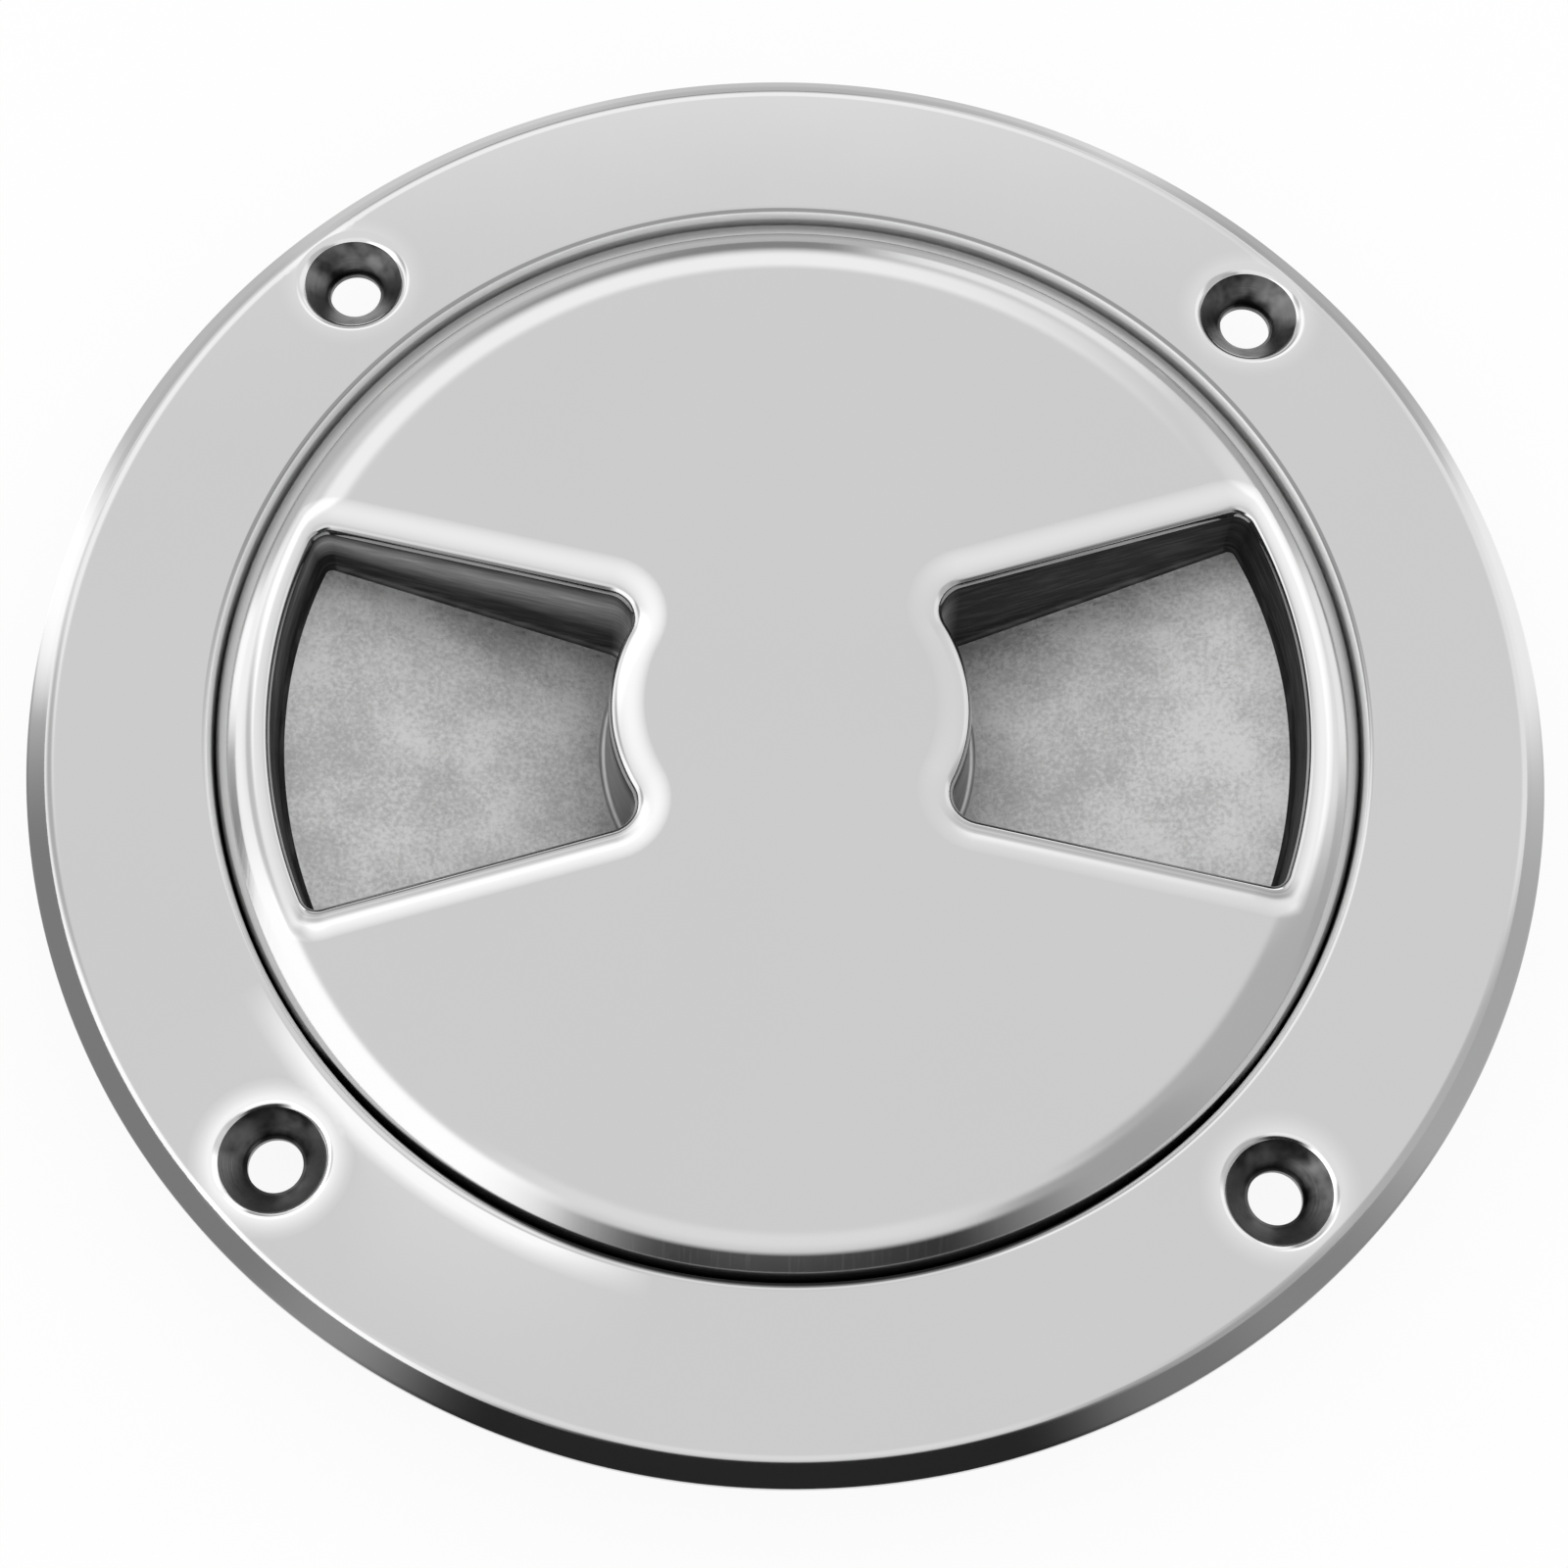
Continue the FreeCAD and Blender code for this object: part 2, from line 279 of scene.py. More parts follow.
def rounded(corners: Sequence[Corner]) -> list[SectionPoint]:
    """Work out a section's points, with an arc at each rounded corner.

    Args:
        corners: Corners in order, with the outside of the piece on the left of the way.

    Returns:
        Points of the section. The first and last corners are its ends.
    """
    places = [Vector((corner.radius, corner.height)) for corner in corners]
    section = [SectionPoint(corners[0].radius, corners[0].height)]
    for before, place, after, corner in zip(places, places[1:], places[2:], corners[1:]):
        if corner.rounding == 0:
            section.append(SectionPoint(corner.radius, corner.height))
            continue
        back = (before - place).normalized()
        ahead = (after - place).normalized()
        half = back.angle(ahead) / 2
        middle = place + (back + ahead).normalized() * (corner.rounding / math.sin(half))
        first = place + back * (corner.rounding / math.tan(half)) - middle
        turn = first.angle_signed(place + ahead * (corner.rounding / math.tan(half)) - middle)
        side = 1 if first.dot(Vector((back.y, -back.x))) > 0 else -1
        steps = max(2, math.ceil(abs(turn) / ARC_STEP))
        for step in range(steps + 1):
            spoke = first.copy()
            spoke.rotate(Matrix.Rotation(-turn * step / steps, 2))
            point = middle + spoke
            section.append(SectionPoint(point.x, point.y, spoke.normalized() * side))
    section.append(SectionPoint(corners[-1].radius, corners[-1].height))
    return section


def turn_strip(skin: Skin, corners: Sequence[Corner], surface: Surface) -> list[list[int]]:
    """Turn an open section about the Z axis.

    Args:
        skin: The piece that the strip belongs to.
        corners: Corners of the section.
        surface: Finish of the strip.

    Returns:
        The rows of points, one for each point of the section.
    """
    rows = [point.row(skin) for point in rounded(corners)]
    skin.grid(rows, surface)
    return rows


def scratch_object(skin: Skin) -> bpy.types.Object:
    """Make a solid that is to be combined with another.

    Args:
        skin: Points and faces of the closed solid.

    Returns:
        A linked object in millimetres.
    """
    mesh = bpy.data.meshes.new("blank")
    mesh.from_pydata(skin.points, [], skin.faces)
    blank = bpy.data.objects.new("blank", mesh)
    bpy.context.scene.collection.objects.link(blank)
    return blank


def closed_object(rows: Sequence[Sequence[Vector]]) -> bpy.types.Object:
    """Make a closed solid from rows of points, for combining with another.

    Args:
        rows: Rows of places, each anticlockwise seen from the first row's side.

    Returns:
        A linked object in millimetres, with its first and last rows filled in.
    """
    skin = Skin()
    numbers = [[skin.point(place) for place in row] for row in rows]
    skin.grid(numbers, Surface.CAST)
    skin.face(numbers[0], Surface.CAST)
    skin.face(numbers[-1][::-1], Surface.CAST)
    return scratch_object(skin)


def ring_object(corners: Sequence[Corner]) -> bpy.types.Object:
    """Make a closed solid ring from a closed section, for combining with another.

    Args:
        corners: Corners of the section, with the outside on the left of the way.

    Returns:
        A linked object in millimetres.
    """
    skin = Skin()
    rows = [point.row(skin) for point in rounded([*corners, corners[0]])]
    skin.grid(rows, Surface.CAST)
    return scratch_object(skin)


def combine(base: bpy.types.Object, tool: bpy.types.Object, blend: Blend) -> bpy.types.Object:
    """Combine two closed solids into the first one.

    Args:
        base: Solid that is changed.
        tool: Solid that is used up.
        blend: How they are combined.

    Returns:
        The base, with its new mesh.
    """
    cut = base.modifiers.new("combine", "BOOLEAN")
    cut.operation = blend.value
    cut.solver = "EXACT"
    cut.object = tool
    evaluated = base.evaluated_get(bpy.context.evaluated_depsgraph_get())
    result = bpy.data.meshes.new_from_object(evaluated)
    base.modifiers.clear()
    old = base.data
    base.data = result
    bpy.data.meshes.remove(old)
    discard(tool)
    return base


def discard(blank: bpy.types.Object) -> None:
    """Delete a scratch object with its mesh.

    Args:
        blank: The scratch object.
    """
    mesh = blank.data
    bpy.data.objects.remove(blank)
    bpy.data.meshes.remove(mesh)


def take_mesh(blank: bpy.types.Object) -> bpy.types.Mesh:
    """Keep a scratch object's mesh and delete the object.

    Args:
        blank: The scratch object.

    Returns:
        Its mesh.
    """
    mesh = blank.data
    bpy.data.objects.remove(blank)
    return mesh


@dataclass(frozen=True)
class RolledTop:
    """A flat round top that rolls down outward through an arc to a straight slope."""

    level: float
    corner: float
    slope: float
    rounding: float

    @property
    def start(self) -> float:
        """Radius where the flat ends and the arc begins."""
        return self.corner - self.rounding * math.tan(self.slope / 2)

    @property
    def end(self) -> float:
        """Radius where the arc ends and the slope begins."""
        return self.start + self.rounding * math.sin(self.slope)

    def tilt(self, radius: float) -> float:
        """How far the surface leans outward at a radius, in radians."""
        return math.asin(min(max((radius - self.start) / self.rounding, 0), math.sin(self.slope)))

    def height(self, radius: float) -> float:
        """Level of the surface at a radius, up to the end of its arc."""
        return self.level - self.rounding * (1 - math.cos(self.tilt(radius)))

    def point(self, skin: Skin, x: float, y: float, painted_light: float = 0.0) -> int:
        """Add a point of this surface.

        Args:
            skin: The piece that the point belongs to.
            x: Its place along X.
            y: Its place along Y.
            painted_light: How much painted light or painted shade its colour has there.

        Returns:
            The point's number.
        """
        radius = math.hypot(x, y)
        tilt = self.tilt(radius)
        normal = Vector((0, 0, math.cos(tilt)))
        if tilt > 0:
            normal += Vector((x, y, 0)) * (math.sin(tilt) / radius)
        return skin.point(Vector((x, y, self.height(radius))), normal, painted_light)

    def ring(self, skin: Skin, radius: float) -> list[int]:
        """Add a circle of points of this surface.

        Args:
            skin: The piece that the circle belongs to.
            radius: Radius of the circle.

        Returns:
            Numbers of the points, anticlockwise seen from above.
        """
        return [self.point(skin, radius * math.cos(angle), radius * math.sin(angle))
                for angle in turn_angles(COLUMNS)]


@dataclass(frozen=True)
class ThreadForm:
    """A trapezoid thread: its lead, the height of its ridge and its play."""

    pitch: float = 4.0
    height: float = 1.3
    flank: float = math.radians(30)
    side_clearance: float = 0.3
    sink: float = 0.5
    steps_per_turn: int = 180

    def ridge(self, wall: float, outward: int, low: float, high: float, offset: float) -> bpy.types.Object:
        """Make the helical ridge that stands on a round wall, cut off square between two heights.

        Args:
            wall: Radius of the wall.
            outward: 1 for a ridge that stands outward and -1 for one that stands inward.
            low: Height of the lower cut.
            high: Height of the upper cut.
            offset: How far the helix is lifted.

        Returns:
            A linked closed object in millimetres.
        """
        lean = math.tan(self.flank)
        half = (self.pitch / 2 - self.side_clearance) / 2
        crest_half = half - lean * self.height / 2
        root_half = half + lean * (self.height / 2 + self.sink)
        crest = wall + outward * self.height
        root = wall - outward * self.sink
        corners = [(root, root_half), (root, -root_half), (crest, -crest_half), (crest, crest_half)]
        if outward < 0:
            corners.reverse()
        start = (math.floor(low / self.pitch) - 1) * self.pitch + offset
        turns = math.ceil((high - start) / self.pitch) + 1
        rows = []
        for step in range(turns * self.steps_per_turn + 1):
            angle = TAU * step / self.steps_per_turn
            lift = start + self.pitch * step / self.steps_per_turn
            rows.append([Vector((radius * math.cos(angle), radius * math.sin(angle), lift + rise))
                         for radius, rise in corners])
        ridge = closed_object(rows)
        beyond = 2 * max(crest, root)
        slab = closed_object([[Vector((x * beyond, y * beyond, level))
                               for x, y in ((-1, -1), (1, -1), (1, 1), (-1, 1))]
                              for level in (high, low)])
        return combine(ridge, slab, Blend.KEEP_COMMON)


@dataclass(frozen=True)
class PocketPlan:
    """Plan of a finger pocket on the +X side: two arcs about the Z axis and two straight sides."""

    outer_radius: float
    inner_radius: float
    half_width: float
    side_angle: float
    outer_corner: float
    inner_corner: float
    arc_steps: int = 40
    corner_steps: int = 12
    side_steps: int = 40

    def samples(self) -> list[tuple[Vector, Vector]]:
        """Work out the outline.

        Returns:
            Points of the outline, anticlockwise, each with the direction that leads out of the pocket.
        """
        along = Vector((math.cos(self.side_angle), math.sin(self.side_angle)))
        away = Vector((-along.y, along.x))
        reach = self.half_width * along.x
        outer_middle = self._corner_middle(along, away, reach, -self.outer_corner, self.outer_radius)
        inner_middle = self._corner_middle(along, away, reach, self.inner_corner, self.inner_radius)
        outer_angle = math.atan2(outer_middle.y, outer_middle.x)
        inner_angle = math.atan2(inner_middle.y, inner_middle.x)
        away_angle = math.atan2(away.y, away.x)
        half = []
        for step in range(self.arc_steps):
            ray = ray_at(outer_angle * step / self.arc_steps)
            half.append((ray * self.outer_radius, ray))
        for step in range(self.corner_steps):
            ray = ray_at(outer_angle + (away_angle - outer_angle) * step / self.corner_steps)
            half.append((outer_middle + ray * self.outer_corner, ray))
        side_start = outer_middle + away * self.outer_corner
        side_end = inner_middle + away * self.inner_corner
        for step in range(self.side_steps):
            half.append((side_start.lerp(side_end, step / self.side_steps), away))
        toward_middle = inner_angle + math.pi
        for step in range(self.corner_steps):
            ray = ray_at(away_angle + (toward_middle - away_angle) * step / self.corner_steps)
            half.append((inner_middle + ray * self.inner_corner, ray))
        inner_steps = self.arc_steps // 2
        for step in range(inner_steps + 1):
            ray = ray_at(inner_angle * (1 - step / inner_steps))
            half.append((ray * self.inner_radius, -ray))
        mirrored = [(Vector((place.x, -place.y)), Vector((out.x, -out.y))) for place, out in half[-2:0:-1]]
        return half + mirrored

    @staticmethod
    def _corner_middle(along: Vector, away: Vector, reach: float, signed: float, radius: float) -> Vector:
        """Find the middle of a corner's arc.

        Args:
            along: Direction of the pocket's side.
            away: Direction square to the side, out of the pocket.
            reach: Distance of the side from the Z axis.
            signed: The corner's radius, below zero where it lies inside the arc that it joins.
            radius: Radius of the arc that it joins.

        Returns:
            The middle.
        """
        off = reach - abs(signed)
        return away * off + along * math.sqrt((radius + signed) ** 2 - off ** 2)


def ray_at(angle: float) -> Vector:
    """Direction in the plan at an angle from the X axis."""
    return Vector((math.cos(angle), math.sin(angle)))


def turn_angles(columns: int) -> list[float]:
    """Angles that divide a full turn evenly, from the X axis."""
    return [TAU * column / columns for column in range(columns)]


def unit(number: float) -> float:
    """Limit a number to between 0 and 1."""
    return min(max(number, 0), 1)


@dataclass
class Lid:
    """Plateau, shoulder and rim with two finger pockets, and the threaded skirt below."""

    rim_radius: float
    plateau: float
    skirt_end: float
    closed_angle: float = math.radians(3.5)
    plate_thickness: float = 3.0
    shoulder_width: float = 4.3
    shoulder_slope: float = math.radians(38)
    shoulder_round: float = 9.0
    rim_nose: float = 1.2
    rim_foot: float = 0.3
    rim_width: float = 2.8
    rim_underside: float = 1.0
    neck_depth: float = 3.4
    neck_step: float = 0.1
    skirt_wall: float = 2.5
    skirt_root: float = 1.5
    skirt_end_round: float = 0.5
    pocket_outer_wall: float = 1.1
    pocket_inner_radius: float = 17.0
    pocket_half_width: float = 7.6
    pocket_side_angle: float = math.radians(14.7)
    pocket_outer_depth: float = 6.6
    pocket_inner_depth: float = 12.8
    pocket_draft: float = math.radians(3)
    pocket_wall: float = 2.2
    pocket_dish: float = 2.6
    pocket_dish_tilt: float = math.radians(16)
    pocket_roll: float = 1.5
    pocket_roll_steps: int = 12
    pocket_wall_steps: int = 4
    pocket_fillet_steps: int = 8
    pocket_spare: float = 0.2
    # Painted highlight along each pocket's rolled rim, with a strength that differs by side, and row by row
    # on the near side painted reflection bands above zero and painted shade below zero
    pocket_highlight: dict[int, Vector] = field(
        default_factory=lambda: {1: Vector((0.45, 0.33, 0.07)), -1: Vector((0.7, 0.25, -0.15))})
    near_bands: dict[int, float] = field(default_factory=lambda: {
        8: 0.2, 9: -0.3, 10: -0.45, 11: -0.3, 12: -0.5, 13: -0.35, 14: -0.55, 15: 0.9, 16: 0.9, 17: -0.6,
        **dict.fromkeys(range(18, 25), -0.7)})
    highlight_reach: float = 1.15
    highlight_power: float = 0.8
    # Painted light on the pocket walls: paler inner walls, and paler top rows of the left pocket's far wall
    inner_wall_paleness: float = 0.35
    far_wall_paleness: float = 0.7
    far_wall_rows: int = 3
    pocket_outer_corner: float = 1.6
    pocket_inner_corner: float = 2.8
    pocket_floor_round: float = 0.6
    pocket_clear: float = 2.6
    boss_edge: float = 0.9
    boss_edge_steps: int = 5
    boss_overlap: float = 0.2
    boss_sink: float = 0.5
    plateau_rings: int = 7
    plateau_margin: float = 0.45
    shoulder_steps: int = 6
    floor_grain: float = 0.7
    floor_edge_grains: float = 0.7
    floor_fade_grains: float = 4.0
    floor_lump: float = 3.0
    floor_unevenness: float = 0.05
    # Painted shade on the pocket floors: it fades out within the first distance of the edge, and is full
    # along the far wall and the second share of that on the other sides
    floor_shade_reach: float = 1.3
    floor_least_shade: float = 0.15
    # Rows of the floor fillet that carry a painted highlight line along the inner wall
    catch_rows: tuple[int, ...] = (8, 9)
    thread: ThreadForm = ThreadForm()
    thread_margin: float = 0.4
    seal_play: float = 0.1

    @property
    def neck_radius(self) -> float:
        """Radius of the plain neck above the thread."""
        return self.rim_radius - self.rim_width

    @property
    def skirt_radius(self) -> float:
        """Radius of the skirt between the turns of its thread."""
        return self.neck_radius - self.neck_step - self.thread.height

    @property
    def skirt_bore(self) -> float:
        """Radius inside the skirt."""
        return self.skirt_radius - self.skirt_wall

    @property
    def neck_end(self) -> float:
        """Height of the step between the neck and the thread."""
        return self.rim_underside - self.neck_depth

    @property
    def underside(self) -> float:
        """Height of the plate's underside."""
        return self.plateau - self.plate_thickness

    @property
    def top(self) -> RolledTop:
        """The plateau and its shoulder."""
        return RolledTop(self.plateau, self.rim_radius - self.shoulder_width, self.shoulder_slope,
                         self.shoulder_round)

    @property
    def plan(self) -> PocketPlan:
        """Plan of a pocket at the plateau's level."""
        return PocketPlan(self.skirt_radius - self.pocket_outer_wall, self.pocket_inner_radius,
                          self.pocket_half_width, self.pocket_side_angle,
                          self.pocket_outer_corner, self.pocket_inner_corner)

    def floor_height(self, x: float) -> float:
        """Work out the level of a pocket's sloping floor.

        Args:
            x: Distance along the pocket's middle line.

        Returns:
            The height.
        """
        outer = self.plan.outer_radius
        fall = (self.pocket_inner_depth - self.pocket_outer_depth) / (outer - self.pocket_inner_radius)
        return self.plateau - self.pocket_outer_depth - (outer - abs(x)) * fall

    @property
    def clear_radius(self) -> float:
        """Radius of the circle that the pockets' rolled rims stay inside."""
        return self.plan.outer_radius + self.pocket_clear

    def roll_curve(self) -> list[tuple[float, float]]:
        """Follow a pocket's rim, which dips softly and then rolls over into the wall.

        Returns:
            Pairs of the distance out of the pocket and the drop below the plate's top.
        """
        tilts = [0.0, self.pocket_dish_tilt, math.pi / 2 - self.pocket_draft]
        along, drop = 0.0, 0.0
        curve = [(along, drop)]
        for low, high, length in zip(tilts, tilts[1:], (self.pocket_dish, self.pocket_roll)):
            for step in range(self.pocket_roll_steps):
                tilt = low + (high - low) * (step + 0.5) / self.pocket_roll_steps
                along += math.cos(tilt) * length / self.pocket_roll_steps
                drop += math.sin(tilt) * length / self.pocket_roll_steps
                curve.append((along, drop))
        return [(curve[-1][0] - along, drop) for along, drop in curve]

    def wall_profile(self, place: Vector, away: Vector) -> list[tuple[float, float]]:
        """Follow a pocket's surface from its rolled rim to its floor.

        Args:
            place: Point of the plan's outline.
            away: Direction that leads out of the pocket there.

        Returns:
            Pairs of the distance out of the pocket and the height, from the top down.
        """
        roll = self.roll_curve()
        toward = place.dot(away)
        reach = math.sqrt(toward ** 2 + self.clear_radius ** 2 - place.length_squared)
        room = reach - toward - self.pocket_spare
        squeeze = min(room / roll[0][0], 1)
        profile = []
        for out, drop in roll:
            top = self.top.height((place + away * out * squeeze).length)
            profile.append((out * squeeze, top - drop))
        out, level = profile[-1]
        steep = 1 / math.tan(self.pocket_draft)
        rise = self.floor_height(place.x + away.x) - self.floor_height(place.x)
        foot_out = (self.floor_height(place.x) - level + out * steep) / (steep - rise)
        foot = Vector((foot_out, self.floor_height(place.x) + rise * foot_out))
        up = (Vector((out, level)) - foot).normalized()
        inward = Vector((-1, -rise)).normalized()
        half = up.angle(inward) / 2
        tangent = self.pocket_floor_round / math.tan(half)
        middle = foot + (up + inward).normalized() * (self.pocket_floor_round / math.sin(half))
        first = foot + up * tangent - middle
        last = foot + inward * tangent - middle
        start = middle + first
        for step in range(1, self.pocket_wall_steps):
            share = step / self.pocket_wall_steps
            profile.append((out + (start.x - out) * share, level + (start.y - level) * share))
        for step in range(self.pocket_fillet_steps + 1):
            share = step / self.pocket_fillet_steps
            spoke = (first * (1 - share) + last * share).normalized() * self.pocket_floor_round
            profile.append(tuple(middle + spoke))
        return profile

    def pocket_rows(self, skin: Skin, side: int) -> list[list[int]]:
        """Add the points of a pocket's rim, walls and fillet.

        Args:
            skin: The lid.
            side: 1 for the pocket on the +X side and -1 for the other.

        Returns:
            Rows of points, from the rolled rim down.
        """
        rows: list[list[int]] = []
        for place, away in self.plan.samples():
            # Painted highlight on the rolled rim, swelling part way down the roll; on the near side it gives
            # way to the painted reflection bands and painted shade
            shine = self.pocket_highlight[side].dot(Vector((1, away.x * side, away.y * side)))
            for index, (out, level) in enumerate(self.wall_profile(place, away)):
                if len(rows) == index:
                    rows.append([])
                spot = (place + away * out) * side
                if index == 0:
                    rows[0].append(self.top.point(skin, spot.x, spot.y))
                    continue
                down = index / self.pocket_roll_steps
                if down <= 2:
                    swell = math.sin(min(down, self.highlight_reach) / self.highlight_reach * math.pi)
                    painted_light = shine * max(swell, 0) ** self.highlight_power
                    near = max(-away.y * side, 0) ** 2
                    painted_light += (self.near_bands.get(index, painted_light) - painted_light) * near
                else:
                    painted_light = self.wall_painted_light(side, away, index - 2 * self.pocket_roll_steps)
                rows[index].append(skin.point(Vector((spot.x, spot.y, level)), None, painted_light))
        return rows

    def wall_painted_light(self, side: int, away: Vector, step: int) -> float:
        """How much painted light a pocket's wall has over its dark casting skin.

        Args:
            side: 1 for the pocket on the +X side and -1 for the other.
            away: Direction that leads out of the pocket there.
            step: How many rows below the rolled rim.

        Returns:
            A share of painted light, which is large on the inner wall, with a painted highlight line in
            the catch rows, and at the top of the left pocket's far wall.
        """
        inner = max(-away.x, 0) ** 2 * (1.0 if step in self.catch_rows else self.inner_wall_paleness)
        far = max(away.y * side, 0) * max(1 - step / self.far_wall_rows, 0)
        far *= self.far_wall_paleness if side < 0 else 0.0
        return max(inner, far)

    def pocket_floor(self, skin: Skin, loop: Sequence[int], side: int) -> None:
        """Add a pocket's slightly uneven cast floor.

        Args:
            skin: The lid.
            loop: Points of the lowest row of the pocket's fillet.
            side: 1 for the pocket on the +X side and -1 for the other.
        """
        # Painted shade along the floor's edge, full toward the far wall and weaker elsewhere
        least = self.floor_least_shade
        painted_shade = [least + (1 - least) * max(away.y * side, 0) for _, away in self.plan.samples()]
        outline = [skin.points[number].xy for number in loop]
        lowest = Vector((min(spot.x for spot in outline), min(spot.y for spot in outline)))
        highest = Vector((max(spot.x for spot in outline), max(spot.y for spot in outline)))
        inside = []
        finder = kdtree.KDTree(len(outline))
        for number, spot in enumerate(outline):
            finder.insert(spot.to_3d(), number)
        finder.balance()
        across = math.ceil((highest.x - lowest.x) / self.floor_grain)
        along = math.ceil((highest.y - lowest.y) / self.floor_grain)
        for column in range(across):
            for row in range(along):
                spot = lowest + Vector((column + (row % 2) / 2, row)) * self.floor_grain
                _, nearest, edge = finder.find(spot.to_3d())
                if edge < self.floor_grain * self.floor_edge_grains or not is_within(spot, outline):
                    continue
                fade = min(edge / (self.floor_fade_grains * self.floor_grain), 1)
                lumps = noise.fractal(spot.to_3d() / self.floor_lump, 1.0, 2.0, 3)
                ripple = lumps * self.floor_unevenness * fade
                place = Vector((spot.x, spot.y, self.floor_height(spot.x) + ripple))
                inside.append(skin.point(place, None, max(1 - edge / self.floor_shade_reach, 0) * painted_shade[nearest]))
        skin.fill([loop], inside, Surface.POCKET_FLOOR)

    def add_top(self, skin: Skin) -> None:
        """Add the plateau, the shoulder, the rim and both pockets.

        Args:
            skin: The lid.
        """
        clear = self.clear_radius
        outer = self.top.ring(skin, clear)
        rims = []
        roll_rows = 2 * self.pocket_roll_steps + 1
        for side in (1, -1):
            rows = self.pocket_rows(skin, side)
            skin.grid(rows[roll_rows - 1::-1], Surface.POLISHED)
            skin.grid(rows[:roll_rows - 2:-1], Surface.POCKET_WALL)
            self.pocket_floor(skin, rows[-1], side)
            rims.append(rows[0])
        outlines = [[skin.points[number].xy for number in rim] for rim in rims]
        inside = []
        for ring in range(self.plateau_rings):
            radius = self.top.start + (clear - self.top.start) * ring / self.plateau_rings
            for angle in turn_angles(COLUMNS):
                spot = ray_at(angle) * radius
                if not any(is_near(spot, outline, self.plateau_margin) for outline in outlines):
                    inside.append(self.top.point(skin, spot.x, spot.y))
        skin.fill([outer, *rims], inside, Surface.POLISHED)
        end = self.top.end
        skin.grid([self.top.ring(skin, clear + (end - clear) * step / self.shoulder_steps)
                   for step in range(self.shoulder_steps + 1)], Surface.POLISHED)
        fall = self.shoulder_width * math.tan(self.shoulder_slope)
        turn_strip(skin, [Corner(end, self.top.height(end)),
                          Corner(self.rim_radius, self.plateau - fall, self.rim_nose),
                          Corner(self.rim_radius, self.rim_underside, self.rim_foot),
                          Corner(self.neck_radius, self.rim_underside)], Surface.POLISHED)

    def add_underside(self, skin: Skin) -> None:
        """Add the neck, the threaded skirt, the plate's underside and the bosses round the pockets.

        Args:
            skin: The lid.
        """
        turn_strip(skin, [Corner(self.neck_radius, self.rim_underside),
                          Corner(self.neck_radius, self.neck_end),
                          Corner(self.skirt_radius, self.neck_end)], Surface.TURNED)
        foot = self.skirt_end + self.skirt_end_round
        turn_strip(skin, [Corner(self.skirt_radius, foot),
                          Corner(self.skirt_radius, self.skirt_end, self.skirt_end_round),
                          Corner(self.skirt_bore, self.skirt_end, self.skirt_end_round),
                          Corner(self.skirt_bore, foot)], Surface.TURNED)
        inner = self.skirt_radius - self.skirt_wall / 2
        tube = ring_object([Corner(inner, self.neck_end), Corner(self.skirt_radius, self.neck_end),
                            Corner(self.skirt_radius, foot), Corner(inner, foot)])
        ridge = self.thread.ridge(self.skirt_radius, 1, foot + self.thread_margin,
                                  self.neck_end - self.thread_margin, 0)
        threaded = take_mesh(combine(tube, ridge, Blend.JOIN))
        wall = self.skirt_radius - SEAM_REACH
        skin.absorb(threaded, lambda place: place.xy.length > wall, Surface.TURNED)
        inside_plate = self.underside + self.plate_thickness / 2
        body = ring_object([Corner(0, inside_plate), Corner(inner, inside_plate), Corner(inner, foot),
                            Corner(self.skirt_bore, foot),
                            Corner(self.skirt_bore, self.underside, self.skirt_root),
                            Corner(0, self.underside)])
        for side in (1, -1):
            boss = self.boss(side, inner - self.boss_overlap, inside_plate - self.boss_sink)
            body = combine(body, boss, Blend.JOIN)
        level = self.underside + HAIR
        bore = self.skirt_bore + HAIR
        skin.absorb(take_mesh(body), lambda place: place.z < level and place.xy.length < bore, Surface.CAST)

    def boss(self, side: int, outer: float, ceiling: float) -> bpy.types.Object:
        """Make the solid that a pocket is sunk into, below the plate.

        Args:
            side: 1 for the pocket on the +X side and -1 for the other.
            outer: Radius that the solid ends at, inside the skirt's wall.
            ceiling: Height that the solid ends at, inside the plate.

        Returns:
            A linked closed object in millimetres.
        """
        plan = PocketPlan(outer, self.pocket_inner_radius - self.pocket_wall,
                          self.pocket_half_width + self.pocket_wall / math.cos(self.pocket_side_angle),
                          self.pocket_side_angle, self.pocket_outer_corner,
                          self.pocket_inner_corner + self.pocket_wall,
                          arc_steps=24, corner_steps=10, side_steps=24)
        lean = math.tan(self.pocket_draft)
        levels = [ceiling + (self.underside - ceiling) * 2 * step / 3 for step in range(3)]
        rows = []
        for level in levels:
            out = -(self.plateau - level) * lean
            rows.append([((place + away * out) * side).to_3d() + Vector((0, 0, level))
                         for place, away in plan.samples()])
        for step in range(self.boss_edge_steps + 1):
            turn = math.pi / 2 * step / self.boss_edge_steps
            row = []
            for place, away in plan.samples():
                bottom = self.floor_height(place.x) - self.pocket_wall
                level = bottom + self.boss_edge * (1 - math.sin(turn))
                out = -(self.plateau - level) * lean - self.boss_edge * (1 - math.cos(turn))
                row.append(((place + away * out) * side).to_3d() + Vector((0, 0, level)))
            rows.append(row)
        return closed_object(rows)

    def build(self, finishes: dict[Surface, "Finish"]) -> bpy.types.Object:
        """Make the lid and let it ride on its body.

        Args:
            finishes: The finish that each kind of surface gets.

        Returns:
            The lid.
        """
        skin = Skin()
        self.add_top(skin)
        self.add_underside(skin)
        piece = skin.build("lid_dressed", finishes, self.closed_angle)
        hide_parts("lid")
        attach(piece, "lid")
        return piece


